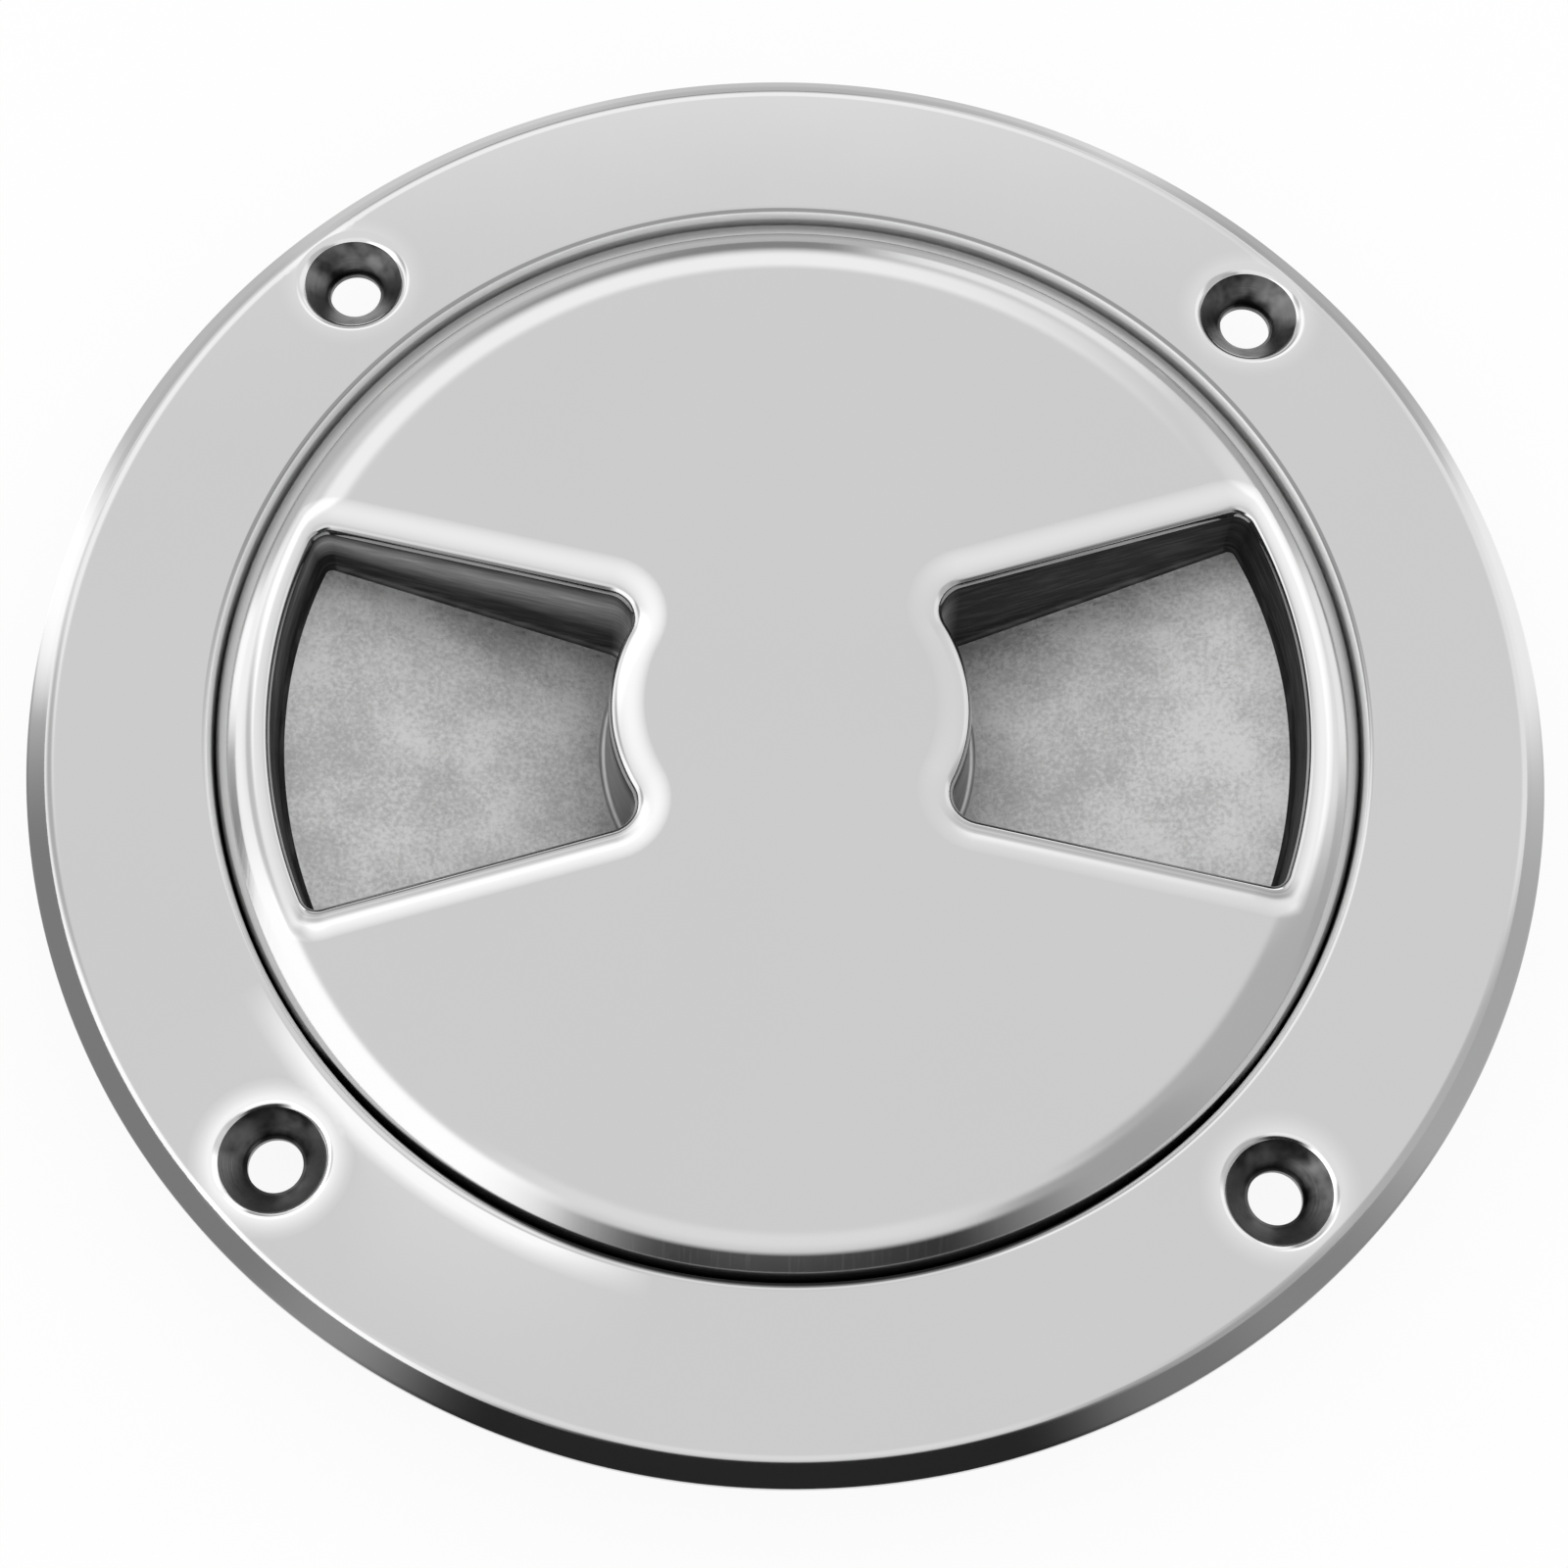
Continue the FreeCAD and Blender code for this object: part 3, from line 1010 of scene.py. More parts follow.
def is_within(spot: Vector, outline: Sequence[Vector]) -> bool:
    """Tell whether a spot lies inside a closed outline.

    Args:
        spot: Place in the plan.
        outline: Corners of the outline.

    Returns:
        Whether it does.
    """
    inside = False
    for start, end in zip(outline, [*outline[1:], outline[0]]):
        if (start.y > spot.y) != (end.y > spot.y):
            crossing = start.x + (spot.y - start.y) / (end.y - start.y) * (end.x - start.x)
            inside ^= spot.x < crossing
    return inside


def is_near(spot: Vector, outline: Sequence[Vector], margin: float) -> bool:
    """Tell whether a spot lies inside a closed outline or close to its corners.

    Args:
        spot: Place in the plan.
        outline: Corners of the outline.
        margin: Distance that counts as close.

    Returns:
        Whether it does.
    """
    if any((spot - place).length < margin for place in outline):
        return True
    return is_within(spot, outline)


@dataclass
class FlangeRing:
    """Flange with its countersunk screw holes, and the threaded collar that drops through the deck."""

    radius: float
    thickness: float
    collar_end: float
    edge_width: float = 2.4
    edge_slope: float = math.radians(44)
    edge_round: float = 2.6
    nose_round: float = 1.5
    foot_round: float = 0.3
    lip_round: float = 1.0
    lip_brushed_share: float = 0.18
    # Painted shade on the lip's rounding: dark low down on the near side and a thin painted dark line on the
    # far side
    lip_shade_fade: float = 0.25
    lip_shade_start: float = 0.9
    lip_near_share: float = 0.6
    lip_near_gain: float = 2.0
    lip_front: float = 0.6
    lip_front_width: float = 0.35
    lip_line: float = 0.5
    lip_line_top: float = 0.04
    lip_line_spare: float = 0.02
    counterbore: float = 54.05
    rim_gap: float = 0.25
    seat: float = -0.75
    collar_radius: float = 56.0
    collar_root: float = 0.8
    collar_end_round: float = 0.6
    collar_bore: float = 51.3
    screw_count: int = 4
    screw_edge_distance: float = 8.5
    screw_start: float = math.radians(45)
    screw_hole: float = 2.5
    countersink: float = 5.25
    countersink_softness: float = 0.45
    mouth_reach: float = 6.2
    mouth_depth: float = 1.1
    mouth_steps: int = 18
    cone_steps: int = 6
    # Painted shade in the countersinks: some everywhere, more beside the bore and toward the top of the far
    # side
    least_shade: float = 0.2
    far_shade: float = 0.55
    bore_shade: float = 0.45
    bore_shade_far: float = 0.25
    bore_shade_width: float = 0.3
    fade_power: float = 1.5
    # Painted highlights on the flange's top: halos of differing strength round the screw holes and a band
    # along one stretch of the lip
    halo: float = 2.0
    halo_start: float = 0.3
    halo_strengths: tuple[float, ...] = (0.25, 0.2, 0.85, 0.35)
    lip_highlight_strength: float = 1.6
    lip_highlight_start: float = 1.2
    lip_highlight_width: float = 2.2
    lip_highlight_angle: float = math.radians(235)
    lip_highlight_spread: float = math.radians(24)
    hole_columns: int = 72
    edge_rings: int = 6
    edge_margin: float = 0.1
    lip_rings: int = 4
    lip_ring_gap: float = 0.55
    mouth_rings: int = 2
    mouth_ring_gap: float = 0.6
    ring_margin: float = 0.3
    thread: ThreadForm = ThreadForm()
    thread_low_margin: float = 0.4
    thread_top: float = -2.8

    @property
    def top(self) -> RolledTop:
        """The flange's top face and its rolled edge."""
        return RolledTop(self.thickness, self.radius - self.edge_width, self.edge_slope, self.edge_round)

    @property
    def lip_top(self) -> float:
        """Radius where the lip's rounding ends and the flat begins."""
        return self.counterbore + self.lip_round

    @property
    def underside_edge(self) -> float:
        """Radius where the flange's flat underside begins, next to its rounded foot."""
        return self.radius - 2 * self.foot_round

    @property
    def underside_root(self) -> float:
        """Radius where the flange's flat underside ends, next to the collar."""
        return self.collar_radius + 2 * self.collar_root

    def screw_places(self) -> list[Vector]:
        """Middles of the screw holes in the plan."""
        circle = self.radius - self.screw_edge_distance
        return [ray_at(self.screw_start + TAU * index / self.screw_count) * circle
                for index in range(self.screw_count)]

    def add_screw_hole(self, skin: Skin, middle: Vector) -> tuple[list[int], list[int]]:
        """Add a countersink with its softened mouth, and its bore.

        Args:
            skin: The flange ring.
            middle: Middle of the hole in the plan.

        Returns:
            The loop of points in the flange's top, and the one in its underside.
        """
        lowest = self.countersink - self.mouth_depth * self.countersink_softness
        mouth = [self.mouth_reach + (lowest - self.mouth_reach) * step / self.mouth_steps
                 for step in range(self.mouth_steps + 1)]
        cone = [lowest + (self.screw_hole - lowest) * step / self.cone_steps
                for step in range(self.cone_steps + 1)]
        mouth_rows = [self.hole_row(skin, middle, reach) for reach in mouth]
        cone_rows = [self.hole_row(skin, middle, reach) for reach in cone]
        bottom = [skin.point((middle + ray_at(angle) * self.screw_hole).to_3d())
                  for angle in turn_angles(self.hole_columns)]
        skin.grid(mouth_rows[::-1], Surface.POLISHED)
        skin.grid([bottom, *cone_rows[::-1]], Surface.COUNTERSINK)
        return mouth_rows[0], bottom

    def hole_row(self, skin: Skin, middle: Vector, reach: float) -> list[int]:
        """Add one circle of a countersink, where its cone meets the flange's top softly.

        Args:
            skin: The flange ring.
            middle: Middle of the hole in the plan.
            reach: Distance of the circle from the hole's axis.

        Returns:
            Numbers of the points.
        """
        row = []
        for angle in turn_angles(self.hole_columns):
            spot = middle + ray_at(angle) * reach
            # Painted highlights on the flange's top round the hole; below the softened mouth the
            # countersink's painted shade takes their place
            painted_light = self.painted_light(spot)
            if reach < self.countersink - self.countersink_softness:
                painted_light = self.countersink_shade(reach, math.sin(angle))
            if reach == self.mouth_reach:
                row.append(self.top.point(skin, spot.x, spot.y, painted_light))
                continue
            top = self.top.height(spot.length)
            cone = self.thickness + reach - self.countersink
            closeness = max(self.countersink_softness - abs(top - cone), 0) / self.countersink_softness
            level = min(top, cone) - closeness ** 2 * self.countersink_softness / 4
            row.append(skin.point(Vector((spot.x, spot.y, level)), None, painted_light))
        return row

    def countersink_shade(self, reach: float, far: float) -> float:
        """Work out how much painted shade a countersink's cone has.

        Args:
            reach: Distance from the hole's axis.
            far: 1 on the hole's far side, -1 on its near side, and between them elsewhere.

        Returns:
            A share of painted shade, which is large beside the bore and toward the top of the far side.
        """
        outward = (reach - self.screw_hole) / (self.countersink - self.screw_hole)
        beside_bore = max(1 - outward / self.bore_shade_width, 0)
        beside_bore *= self.bore_shade + self.bore_shade_far * far
        far_side = self.far_shade * max(far, 0) ** self.fade_power * outward
        return min(self.least_shade + beside_bore + far_side, 1)

    def is_lip_edge(self, place: Vector) -> bool:
        """Whether a place lies on the steep, brushed part of the lip's inner edge."""
        return self.thickness - place.z > self.lip_round * self.lip_brushed_share

    def lip_painted_shade(self, place: Vector) -> float:
        """Work out how much painted shade the lip's inner edge has.

        Args:
            place: Place on the edge.

        Returns:
            A share of painted shade: large on the near side, low on the edge, a faint dark line on the far
                side.
        """
        drop = self.thickness - place.z
        toward_near = -place.y / place.xy.length
        near = unit(self.lip_near_share + self.lip_near_gain * toward_near)
        front = unit((toward_near - self.lip_front) / self.lip_front_width)
        start = self.lip_round * self.lip_shade_start * (1 - front)
        line_end = self.lip_brushed_share + self.lip_line_spare
        line = self.lip_line if self.lip_line_top < drop / self.lip_round < line_end else 0.0
        return max(near * unit((drop - start) / self.lip_shade_fade), (1 - near) * line)

    def painted_light(self, spot: Vector) -> float:
        """Work out how much painted highlight the flange's top has.

        Args:
            spot: Place in the plan.

        Returns:
            A share of painted highlight, which is large round the screw holes and along one stretch of the
            lip.
        """
        brightest = 0.0
        for middle, strength in zip(self.screw_places(), self.halo_strengths):
            outside = (spot - middle).length - self.countersink - self.halo_start
            closeness = 1 - max(outside, 0) / self.halo
            brightest = max(brightest, strength * max(closeness, 0) ** self.fade_power)
        off = abs(math.remainder(math.atan2(spot.y, spot.x) - self.lip_highlight_angle, TAU))
        outside = spot.length - self.counterbore - self.lip_highlight_start
        beside = max(1 - max(outside, 0) / self.lip_highlight_width, 0)
        along = max(1 - (off / self.lip_highlight_spread) ** 2, 0)
        return max(brightest, min(self.lip_highlight_strength * beside * along, 1))

    def add_lip(self, skin: Skin) -> None:
        """Add the seat, the counterbore and the lip's inner edge, brushed where it is steep.

        Args:
            skin: The flange ring.
        """
        lip = [point.row(skin) for point in rounded([
            Corner(self.collar_bore, self.seat), Corner(self.counterbore, self.seat),
            Corner(self.counterbore, self.thickness, self.lip_round),
            Corner(self.lip_top, self.thickness)])]
        brushed = [row for row in lip if self.is_lip_edge(skin.points[row[0]])]
        skin.grid(brushed, Surface.LIP)
        skin.grid(lip[len(brushed) - 1:], Surface.POLISHED)
        # The lip's rounding gets painted shade, stored below zero in the point attribute
        for number in (number for row in lip[1:-1] for number in row):
            skin.painted_light[number] = -self.lip_painted_shade(skin.points[number])

    def add_top(self, skin: Skin) -> list[list[int]]:
        """Add the flange's top up to the end of its rolled edge, and the screw holes.

        Args:
            skin: The flange ring.

        Returns:
            The loops of points that the screw holes make in the underside.
        """
        angles = turn_angles(COLUMNS)
        lip = [ray_at(angle) * self.lip_top for angle in angles]
        inner = [self.top.point(skin, spot.x, spot.y, self.painted_light(spot)) for spot in lip]
        start, end = self.top.start, self.top.end
        outer = self.top.ring(skin, end)
        middles = self.screw_places()
        holes = [self.add_screw_hole(skin, middle) for middle in middles]
        radii = [start + (end - start) * ring / self.edge_rings for ring in range(self.edge_rings)]
        radii.extend(self.lip_top + self.lip_ring_gap * step for step in range(1, self.lip_rings + 1))
        spots = [ray_at(angle) * radius for radius in radii for angle in angles]
        reaches = [self.mouth_reach + self.mouth_ring_gap * step for step in range(1, self.mouth_rings + 1)]
        spots.extend(middle + ray_at(angle) * reach for middle in middles for reach in reaches
                     for angle in turn_angles(self.hole_columns))
        inside = []
        for spot in spots:
            reach = min((spot - middle).length for middle in middles)
            near_hole = reach < self.mouth_reach + self.ring_margin
            if not near_hole and self.lip_top + self.ring_margin < spot.length < end - self.edge_margin:
                inside.append(self.top.point(skin, spot.x, spot.y, self.painted_light(spot)))
        skin.fill([outer, inner, *(mouth for mouth, _ in holes)], inside, Surface.POLISHED)
        return [bottom for _, bottom in holes]

    def add_underside(self, skin: Skin, bottoms: Sequence[Sequence[int]]) -> None:
        """Add the flange's outer edge and its flat underside.

        Args:
            skin: The flange ring.
            bottoms: The loops of points that the screw holes make in it.
        """
        end = self.top.end
        fall = self.edge_width * math.tan(self.edge_slope)
        turn_strip(skin, [Corner(end, self.top.height(end)),
                          Corner(self.radius, self.thickness - fall, self.nose_round),
                          Corner(self.radius, 0, self.foot_round),
                          Corner(self.underside_edge, 0)], Surface.POLISHED)
        edge = SectionPoint(self.underside_edge, 0).row(skin)
        root = SectionPoint(self.underside_root, 0).row(skin)
        skin.fill([edge, root, *bottoms], [], Surface.CAST, facing_up=False)

    def add_collar(self, skin: Skin) -> None:
        """Add the collar below the deck, with the thread in its bore.

        Args:
            skin: The flange ring.
        """
        foot = self.collar_end + self.collar_end_round
        turn_strip(skin, [Corner(self.underside_root, 0),
                          Corner(self.collar_radius, 0, self.collar_root),
                          Corner(self.collar_radius, self.collar_end, self.collar_end_round),
                          Corner(self.collar_bore, self.collar_end, self.collar_end_round),
                          Corner(self.collar_bore, foot)], Surface.CAST)
        middle_wall = (self.collar_bore + self.collar_radius) / 2
        tube = ring_object([Corner(self.collar_bore, self.seat), Corner(middle_wall, self.seat),
                            Corner(middle_wall, foot), Corner(self.collar_bore, foot)])
        ridge = self.thread.ridge(self.collar_bore, -1, foot + self.thread_low_margin, self.thread_top,
                                  self.thread.pitch / 2)
        wall = self.collar_bore + SEAM_REACH
        skin.absorb(take_mesh(combine(tube, ridge, Blend.JOIN)), lambda place: place.xy.length < wall,
                    Surface.TURNED)

    def build(self, finishes: dict[Surface, "Finish"]) -> bpy.types.Object:
        """Make the flange ring and let it ride on its body.

        Args:
            finishes: The finish that each kind of surface gets.

        Returns:
            The flange ring.
        """
        skin = Skin()
        self.add_lip(skin)
        bottoms = self.add_top(skin)
        self.add_underside(skin, bottoms)
        self.add_collar(skin)
        piece = skin.build("flange_ring_dressed", finishes)
        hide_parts("flange_ring")
        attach(piece, "frame")
        return piece


@dataclass
class SealRing:
    """Rubber ring, squeezed flat between the lid's rim and the seat in the flange ring."""

    inner: float
    outer: float
    low: float
    high: float
    flat: float = 0.01

    def build(self, finishes: dict[Surface, "Finish"]) -> bpy.types.Object:
        """Make the seal and let it ride on its body.

        Args:
            finishes: The finish that each kind of surface gets.

        Returns:
            The seal.
        """
        rounding = (self.high - self.low) / 2 - self.flat
        middle = (self.inner + self.outer) / 2
        skin = Skin()
        turn_strip(skin, [Corner(middle, self.high), Corner(self.outer, self.high, rounding),
                          Corner(self.outer, self.low, rounding), Corner(self.inner, self.low, rounding),
                          Corner(self.inner, self.high, rounding),
                          Corner(middle, self.high)], Surface.RUBBER)
        piece = skin.build("seal_dressed", finishes)
        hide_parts("seal_ring")
        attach(piece, "seal")
        return piece


Operand = Union["Value", float]


class Value:
    """One number in a shader, on which sums are written as Python expressions."""

    def __init__(self, graph: "Graph", socket: bpy.types.NodeSocket) -> None:
        """Wrap a socket of a graph."""
        self.graph = graph
        self.socket = socket

    def _sum(self, operation: str, first: Operand, second: Operand) -> "Value":
        """Add a Math node.

        Args:
            operation: The node's operation.
            first: Its first number.
            second: Its second number.

        Returns:
            Its result.
        """
        node = self.graph.node("ShaderNodeMath", {"operation": operation}, {0: first, 1: second})
        return Value(self.graph, node.outputs[0])

    def __add__(self, other: Operand) -> "Value":
        """Sum with another number."""
        return self._sum("ADD", self, other)

    def __radd__(self, other: Operand) -> "Value":
        """Sum with a number on the left."""
        return self._sum("ADD", other, self)

    def __sub__(self, other: Operand) -> "Value":
        """Difference from another number."""
        return self._sum("SUBTRACT", self, other)

    def __rsub__(self, other: Operand) -> "Value":
        """Difference of a number on the left."""
        return self._sum("SUBTRACT", other, self)

    def __mul__(self, other: Operand) -> "Value":
        """Product with another number."""
        return self._sum("MULTIPLY", self, other)

    def __rmul__(self, other: Operand) -> "Value":
        """Product with a number on the left."""
        return self._sum("MULTIPLY", other, self)

    def __pow__(self, other: Operand) -> "Value":
        """Power of this number."""
        return self._sum("POWER", self, other)

    def larger(self, other: Operand) -> "Value":
        """The larger of two numbers."""
        return self._sum("MAXIMUM", self, other)


class Graph:
    """The nodes of one shader."""

    def __init__(self, tree: bpy.types.NodeTree) -> None:
        """Start on an emptied node tree."""
        self.tree = tree
        tree.nodes.clear()

    def node(self, kind: str, settings: dict[str, Any] | None = None,
             sockets: dict[str | int, Any] | None = None) -> bpy.types.Node:
        """Add a node.

        Args:
            kind: Its type.
            settings: Its own settings.
            sockets: Numbers, colours, sockets or values for its inputs.

        Returns:
            The node.
        """
        node = self.tree.nodes.new(kind)
        for name, setting in (settings or {}).items():
            setattr(node, name, setting)
        for name, given in (sockets or {}).items():
            if isinstance(given, Value):
                given = given.socket
            if isinstance(given, bpy.types.NodeSocket):
                self.tree.links.new(given, node.inputs[name])
            else:
                node.inputs[name].default_value = given
        return node

    def value(self, node: bpy.types.Node, output: str | int = 0) -> Value:
        """Take an output of a node as a number."""
        return Value(self, node.outputs[output])

    def place(self) -> bpy.types.NodeSocket:
        """Where a spot lies on its piece, in metres."""
        return self.node("ShaderNodeTexCoord").outputs["Object"]

    def painted_light(self) -> Value:
        """How much painted light or painted shade a spot's colour has, as its piece keeps it."""
        return self.value(self.node("ShaderNodeAttribute", {"attribute_name": PAINTED_LIGHT}), "Fac")

    def stretched(self, scale: Sequence[float], turn: float = 0.0) -> bpy.types.NodeSocket:
        """Find where a spot lies on its piece, scaled and turned about the Z axis.

        Args:
            scale: Scale along each axis.
            turn: Angle of the turn, in radians.

        Returns:
            The changed place.
        """
        settings = {"vector_type": "POINT"}
        sockets = {"Vector": self.place(), "Rotation": (0, 0, turn), "Scale": scale}
        return self.node("ShaderNodeMapping", settings, sockets).outputs[0]

    def cloud(self, scale: float, detail: float = 2.0, roughness: float = 0.5,
              where: bpy.types.NodeSocket | None = None) -> Value:
        """Add a soft irregular pattern.

        Args:
            scale: How many patches there are to a metre.
            detail: How many finer layers it has.
            roughness: How strong the finer layers are.
            where: The place that it is read at.

        Returns:
            A number about 0.5.
        """
        sockets = {"Vector": where or self.place(), "Scale": scale, "Detail": detail, "Roughness": roughness}
        return self.value(self.node("ShaderNodeTexNoise", None, sockets))

    def rise(self, given: Value, low: float, high: float, bottom: float = 0.0, top: float = 1.0) -> Value:
        """Ease a number from one level to another.

        Args:
            given: The number.
            low: Where the rise begins.
            high: Where the rise ends.
            bottom: Level before it.
            top: Level after it.

        Returns:
            The eased number.
        """
        sockets = {"Value": given, "From Min": low, "From Max": high, "To Min": bottom, "To Max": top}
        return self.value(self.node("ShaderNodeMapRange", {"interpolation_type": "SMOOTHSTEP"}, sockets))

    def tones(self, share: Operand, first: Sequence[float], second: Sequence[float]) -> bpy.types.NodeSocket:
        """Mix two colours by a share."""
        node = self.node("ShaderNodeMix", {"data_type": "RGBA"}, {0: share, 6: first, 7: second})
        return node.outputs[2]

    def metal(self, color: bpy.types.NodeSocket, roughness: Value,
              normal: bpy.types.NodeSocket) -> bpy.types.NodeSocket:
        """Add a bare metal.

        Args:
            color: Colour that it mirrors in.
            roughness: How blurred its mirror is.
            normal: Direction that it faces.

        Returns:
            The shader.
        """
        sockets = {"Base Color": color, "Metallic": 1.0, "Roughness": roughness, "Normal": normal}
        return self.node("ShaderNodeBsdfPrincipled", None, sockets).outputs[0]

    def bump(self, height: Value, depth: float, strength: float = 1.0,
             under: bpy.types.NodeSocket | None = None) -> bpy.types.NodeSocket:
        """Tilt the surface by a height pattern.

        Args:
            height: The pattern, from 0 to 1.
            depth: Its depth in metres.
            strength: How far it is used.
            under: A bump that lies under this one.

        Returns:
            The tilted normal.
        """
        sockets: dict[str | int, Any] = {"Height": height, "Distance": depth, "Strength": strength}
        if under is not None:
            sockets["Normal"] = under
        return self.node("ShaderNodeBump", None, sockets).outputs[0]


@dataclass(frozen=True)
class Finish:
    """What a surface is made of and how it is worked."""

    name: str

    def paint(self, graph: Graph) -> bpy.types.NodeSocket:
        """Add the finish's nodes.

        Args:
            graph: The material's nodes.

        Returns:
            The shader.
        """
        raise NotImplementedError

    def material(self) -> bpy.types.Material:
        """Make the material, or find it if it is already made.

        Returns:
            The material.
        """
        known = bpy.data.materials.get(self.name)
        if known is not None:
            return known
        material = bpy.data.materials.new(self.name)
        material.use_nodes = True
        graph = Graph(material.node_tree)
        graph.node("ShaderNodeOutputMaterial", None, {"Surface": self.paint(graph)})
        return material


def grey(level: float) -> tuple[float, float, float, float]:
    """A neutral colour."""
    return (level, level, level, 1.0)


def greys(tone: float, darker: float, lighter: float) -> list[tuple[float, float, float, float]]:
    """Two neutral colours, as shares of a tone."""
    return [grey(tone * darker), grey(tone * lighter)]


@dataclass(frozen=True)
class PolishedSteel(Finish):
    """Buffed stainless steel: a soft mirror with faint hairlines and clouds, and painted highlights and
    painted shade mixed into its colour.
    """

    tone: float = 0.6
    # Colours of the painted highlights and of the painted shade
    highlight_tone: float = 0.96
    shade_tone: float = 0.02
    gloss_roughness: float = 0.1
    cloud_scale: float = 45
    cloud_contrast: float = 0.015
    wave_scale: float = 60
    wave_depth: float = 2e-5
    hairline_scale: tuple[float, float, float] = (5200, 90, 400)
    hairline_turn: float = 0.6
    hairline_depth: float = 2e-7

    def paint(self, graph: Graph) -> bpy.types.NodeSocket:
        """Add the finish's nodes.

        Args:
            graph: The material's nodes.

        Returns:
            The shader.
        """
        clouds = graph.cloud(self.cloud_scale, 3)
        hairlines = graph.cloud(1.0, 2, where=graph.stretched(self.hairline_scale, self.hairline_turn))
        strokes = graph.rise(hairlines, 0.5, 0.72)
        roughness = self.gloss_roughness + (clouds - 0.5) * 0.05 + strokes * 0.02
        waves = graph.bump(graph.cloud(self.wave_scale, 1), self.wave_depth)
        normal = graph.bump(strokes, self.hairline_depth, under=waves)
        film = graph.tones(clouds, *greys(self.tone, 1 - self.cloud_contrast, 1 + self.cloud_contrast))
        # Painted highlights where the point attribute is above zero, painted shade where it is below zero
        highlighted = graph.tones(graph.painted_light(), film, grey(self.highlight_tone))
        color = graph.tones(0 - graph.painted_light(), highlighted, grey(self.shade_tone))
        return graph.metal(color, roughness, normal)


@dataclass(frozen=True)
class LipSteel(Finish):
    """Brushed steel on the inner edge of the flange's lip, with painted shade, deep on the near side and a
    thin line on the far side.
    """

    tone: float = 0.9
    # Colour of the painted shade
    shade_tone: float = 0.015
    stroke_scale: tuple[float, float, float] = (300, 300, 9000)
    stroke_depth: float = 5e-6

    def paint(self, graph: Graph) -> bpy.types.NodeSocket:
        """Add the finish's nodes.

        Args:
            graph: The material's nodes.

        Returns:
            The shader.
        """
        strokes = graph.cloud(1.0, 2, where=graph.stretched(self.stroke_scale))
        clean = graph.tones(strokes, *greys(self.tone, 0.85, 1.05))
        # Painted shade from the point attribute, which is stored below zero
        color = graph.tones(0 - graph.painted_light(), clean, grey(self.shade_tone))
        normal = graph.bump(strokes, self.stroke_depth, 0.6)
        return graph.metal(color, 0.46 + strokes * 0.12, normal)


@dataclass(frozen=True)
class PocketFloor(Finish):
    """Blasted cast steel, mottled, with painted shade along the walls."""

    tone: float = 0.52
    patch_scale: float = 130
    grain_scale: float = 2300
    depth: float = 5e-5

    def paint(self, graph: Graph) -> bpy.types.NodeSocket:
        """Add the finish's nodes.

        Args:
            graph: The material's nodes.

        Returns:
            The shader.
        """
        patches = graph.cloud(self.patch_scale, 3, 0.5)
        grains = graph.cloud(self.grain_scale, 2, 0.6)
        mottle = graph.rise(patches * 0.5 + grains * 0.5, 0.34, 0.66)
        clean = graph.tones(mottle, *greys(self.tone, 0.78, 1.22))
        # Painted shade from the point attribute, broken up by the grains
        painted_shade = graph.rise(graph.painted_light() + (grains - 0.5) * 0.8, 0.25, 1.0)
        color = graph.tones(painted_shade, clean, grey(self.tone * 0.2))
        normal = graph.bump(grains * 0.6 + patches * 0.4, self.depth, 0.8)
        return graph.metal(color, 0.52 + (grains - 0.5) * 0.12, normal)


@dataclass(frozen=True)
class PocketWall(Finish):
    """Streaky casting skin on the walls of the pockets, painted near black as painted shade, and paler where
    painted light is put.
    """

    # Near black: dark casting skin together with painted shade for the depth of the pockets
    tone: float = 0.012
    streak_tone: float = 0.04
    lit_tone: float = 0.75
    streak_scale: tuple[float, float, float] = (260, 260, 2500)
    streak_depth: float = 3e-5

    def paint(self, graph: Graph) -> bpy.types.NodeSocket:
        """Add the finish's nodes.

        Args:
            graph: The material's nodes.

        Returns:
            The shader.
        """
        streaks = graph.cloud(1.0, 3, where=graph.stretched(self.streak_scale))
        dark = graph.tones(graph.rise(streaks, 0.42, 0.7), grey(self.tone), grey(self.streak_tone))
        # Painted light from the point attribute mixes the dark skin toward the pale lit tone
        color = graph.tones(graph.painted_light() * (0.5 + streaks), dark, grey(self.lit_tone))
        normal = graph.bump(streaks, self.streak_depth, 0.6)
        return graph.node("ShaderNodeBsdfPrincipled", None, {
            "Base Color": color, "Roughness": 0.55, "Specular IOR Level": 0.12, "Normal": normal}).outputs[0]


@dataclass(frozen=True)
class CastSteel(Finish):
    """As-cast steel, out of sight once the plate is fitted."""

    tone: float = 0.36
    patch_scale: float = 120
    grain_scale: float = 2200
    depth: float = 8e-5

    def paint(self, graph: Graph) -> bpy.types.NodeSocket:
        """Add the finish's nodes.

        Args:
            graph: The material's nodes.

        Returns:
            The shader.
        """
        patches = graph.cloud(self.patch_scale, 4, 0.6)
        grains = graph.cloud(self.grain_scale, 3, 0.6)
        color = graph.tones(patches, *greys(self.tone, 0.7, 1.25))
        normal = graph.bump(grains * 0.7 + patches * 0.3, self.depth, 0.9)
        return graph.metal(color, 0.42 + grains * 0.2, normal)


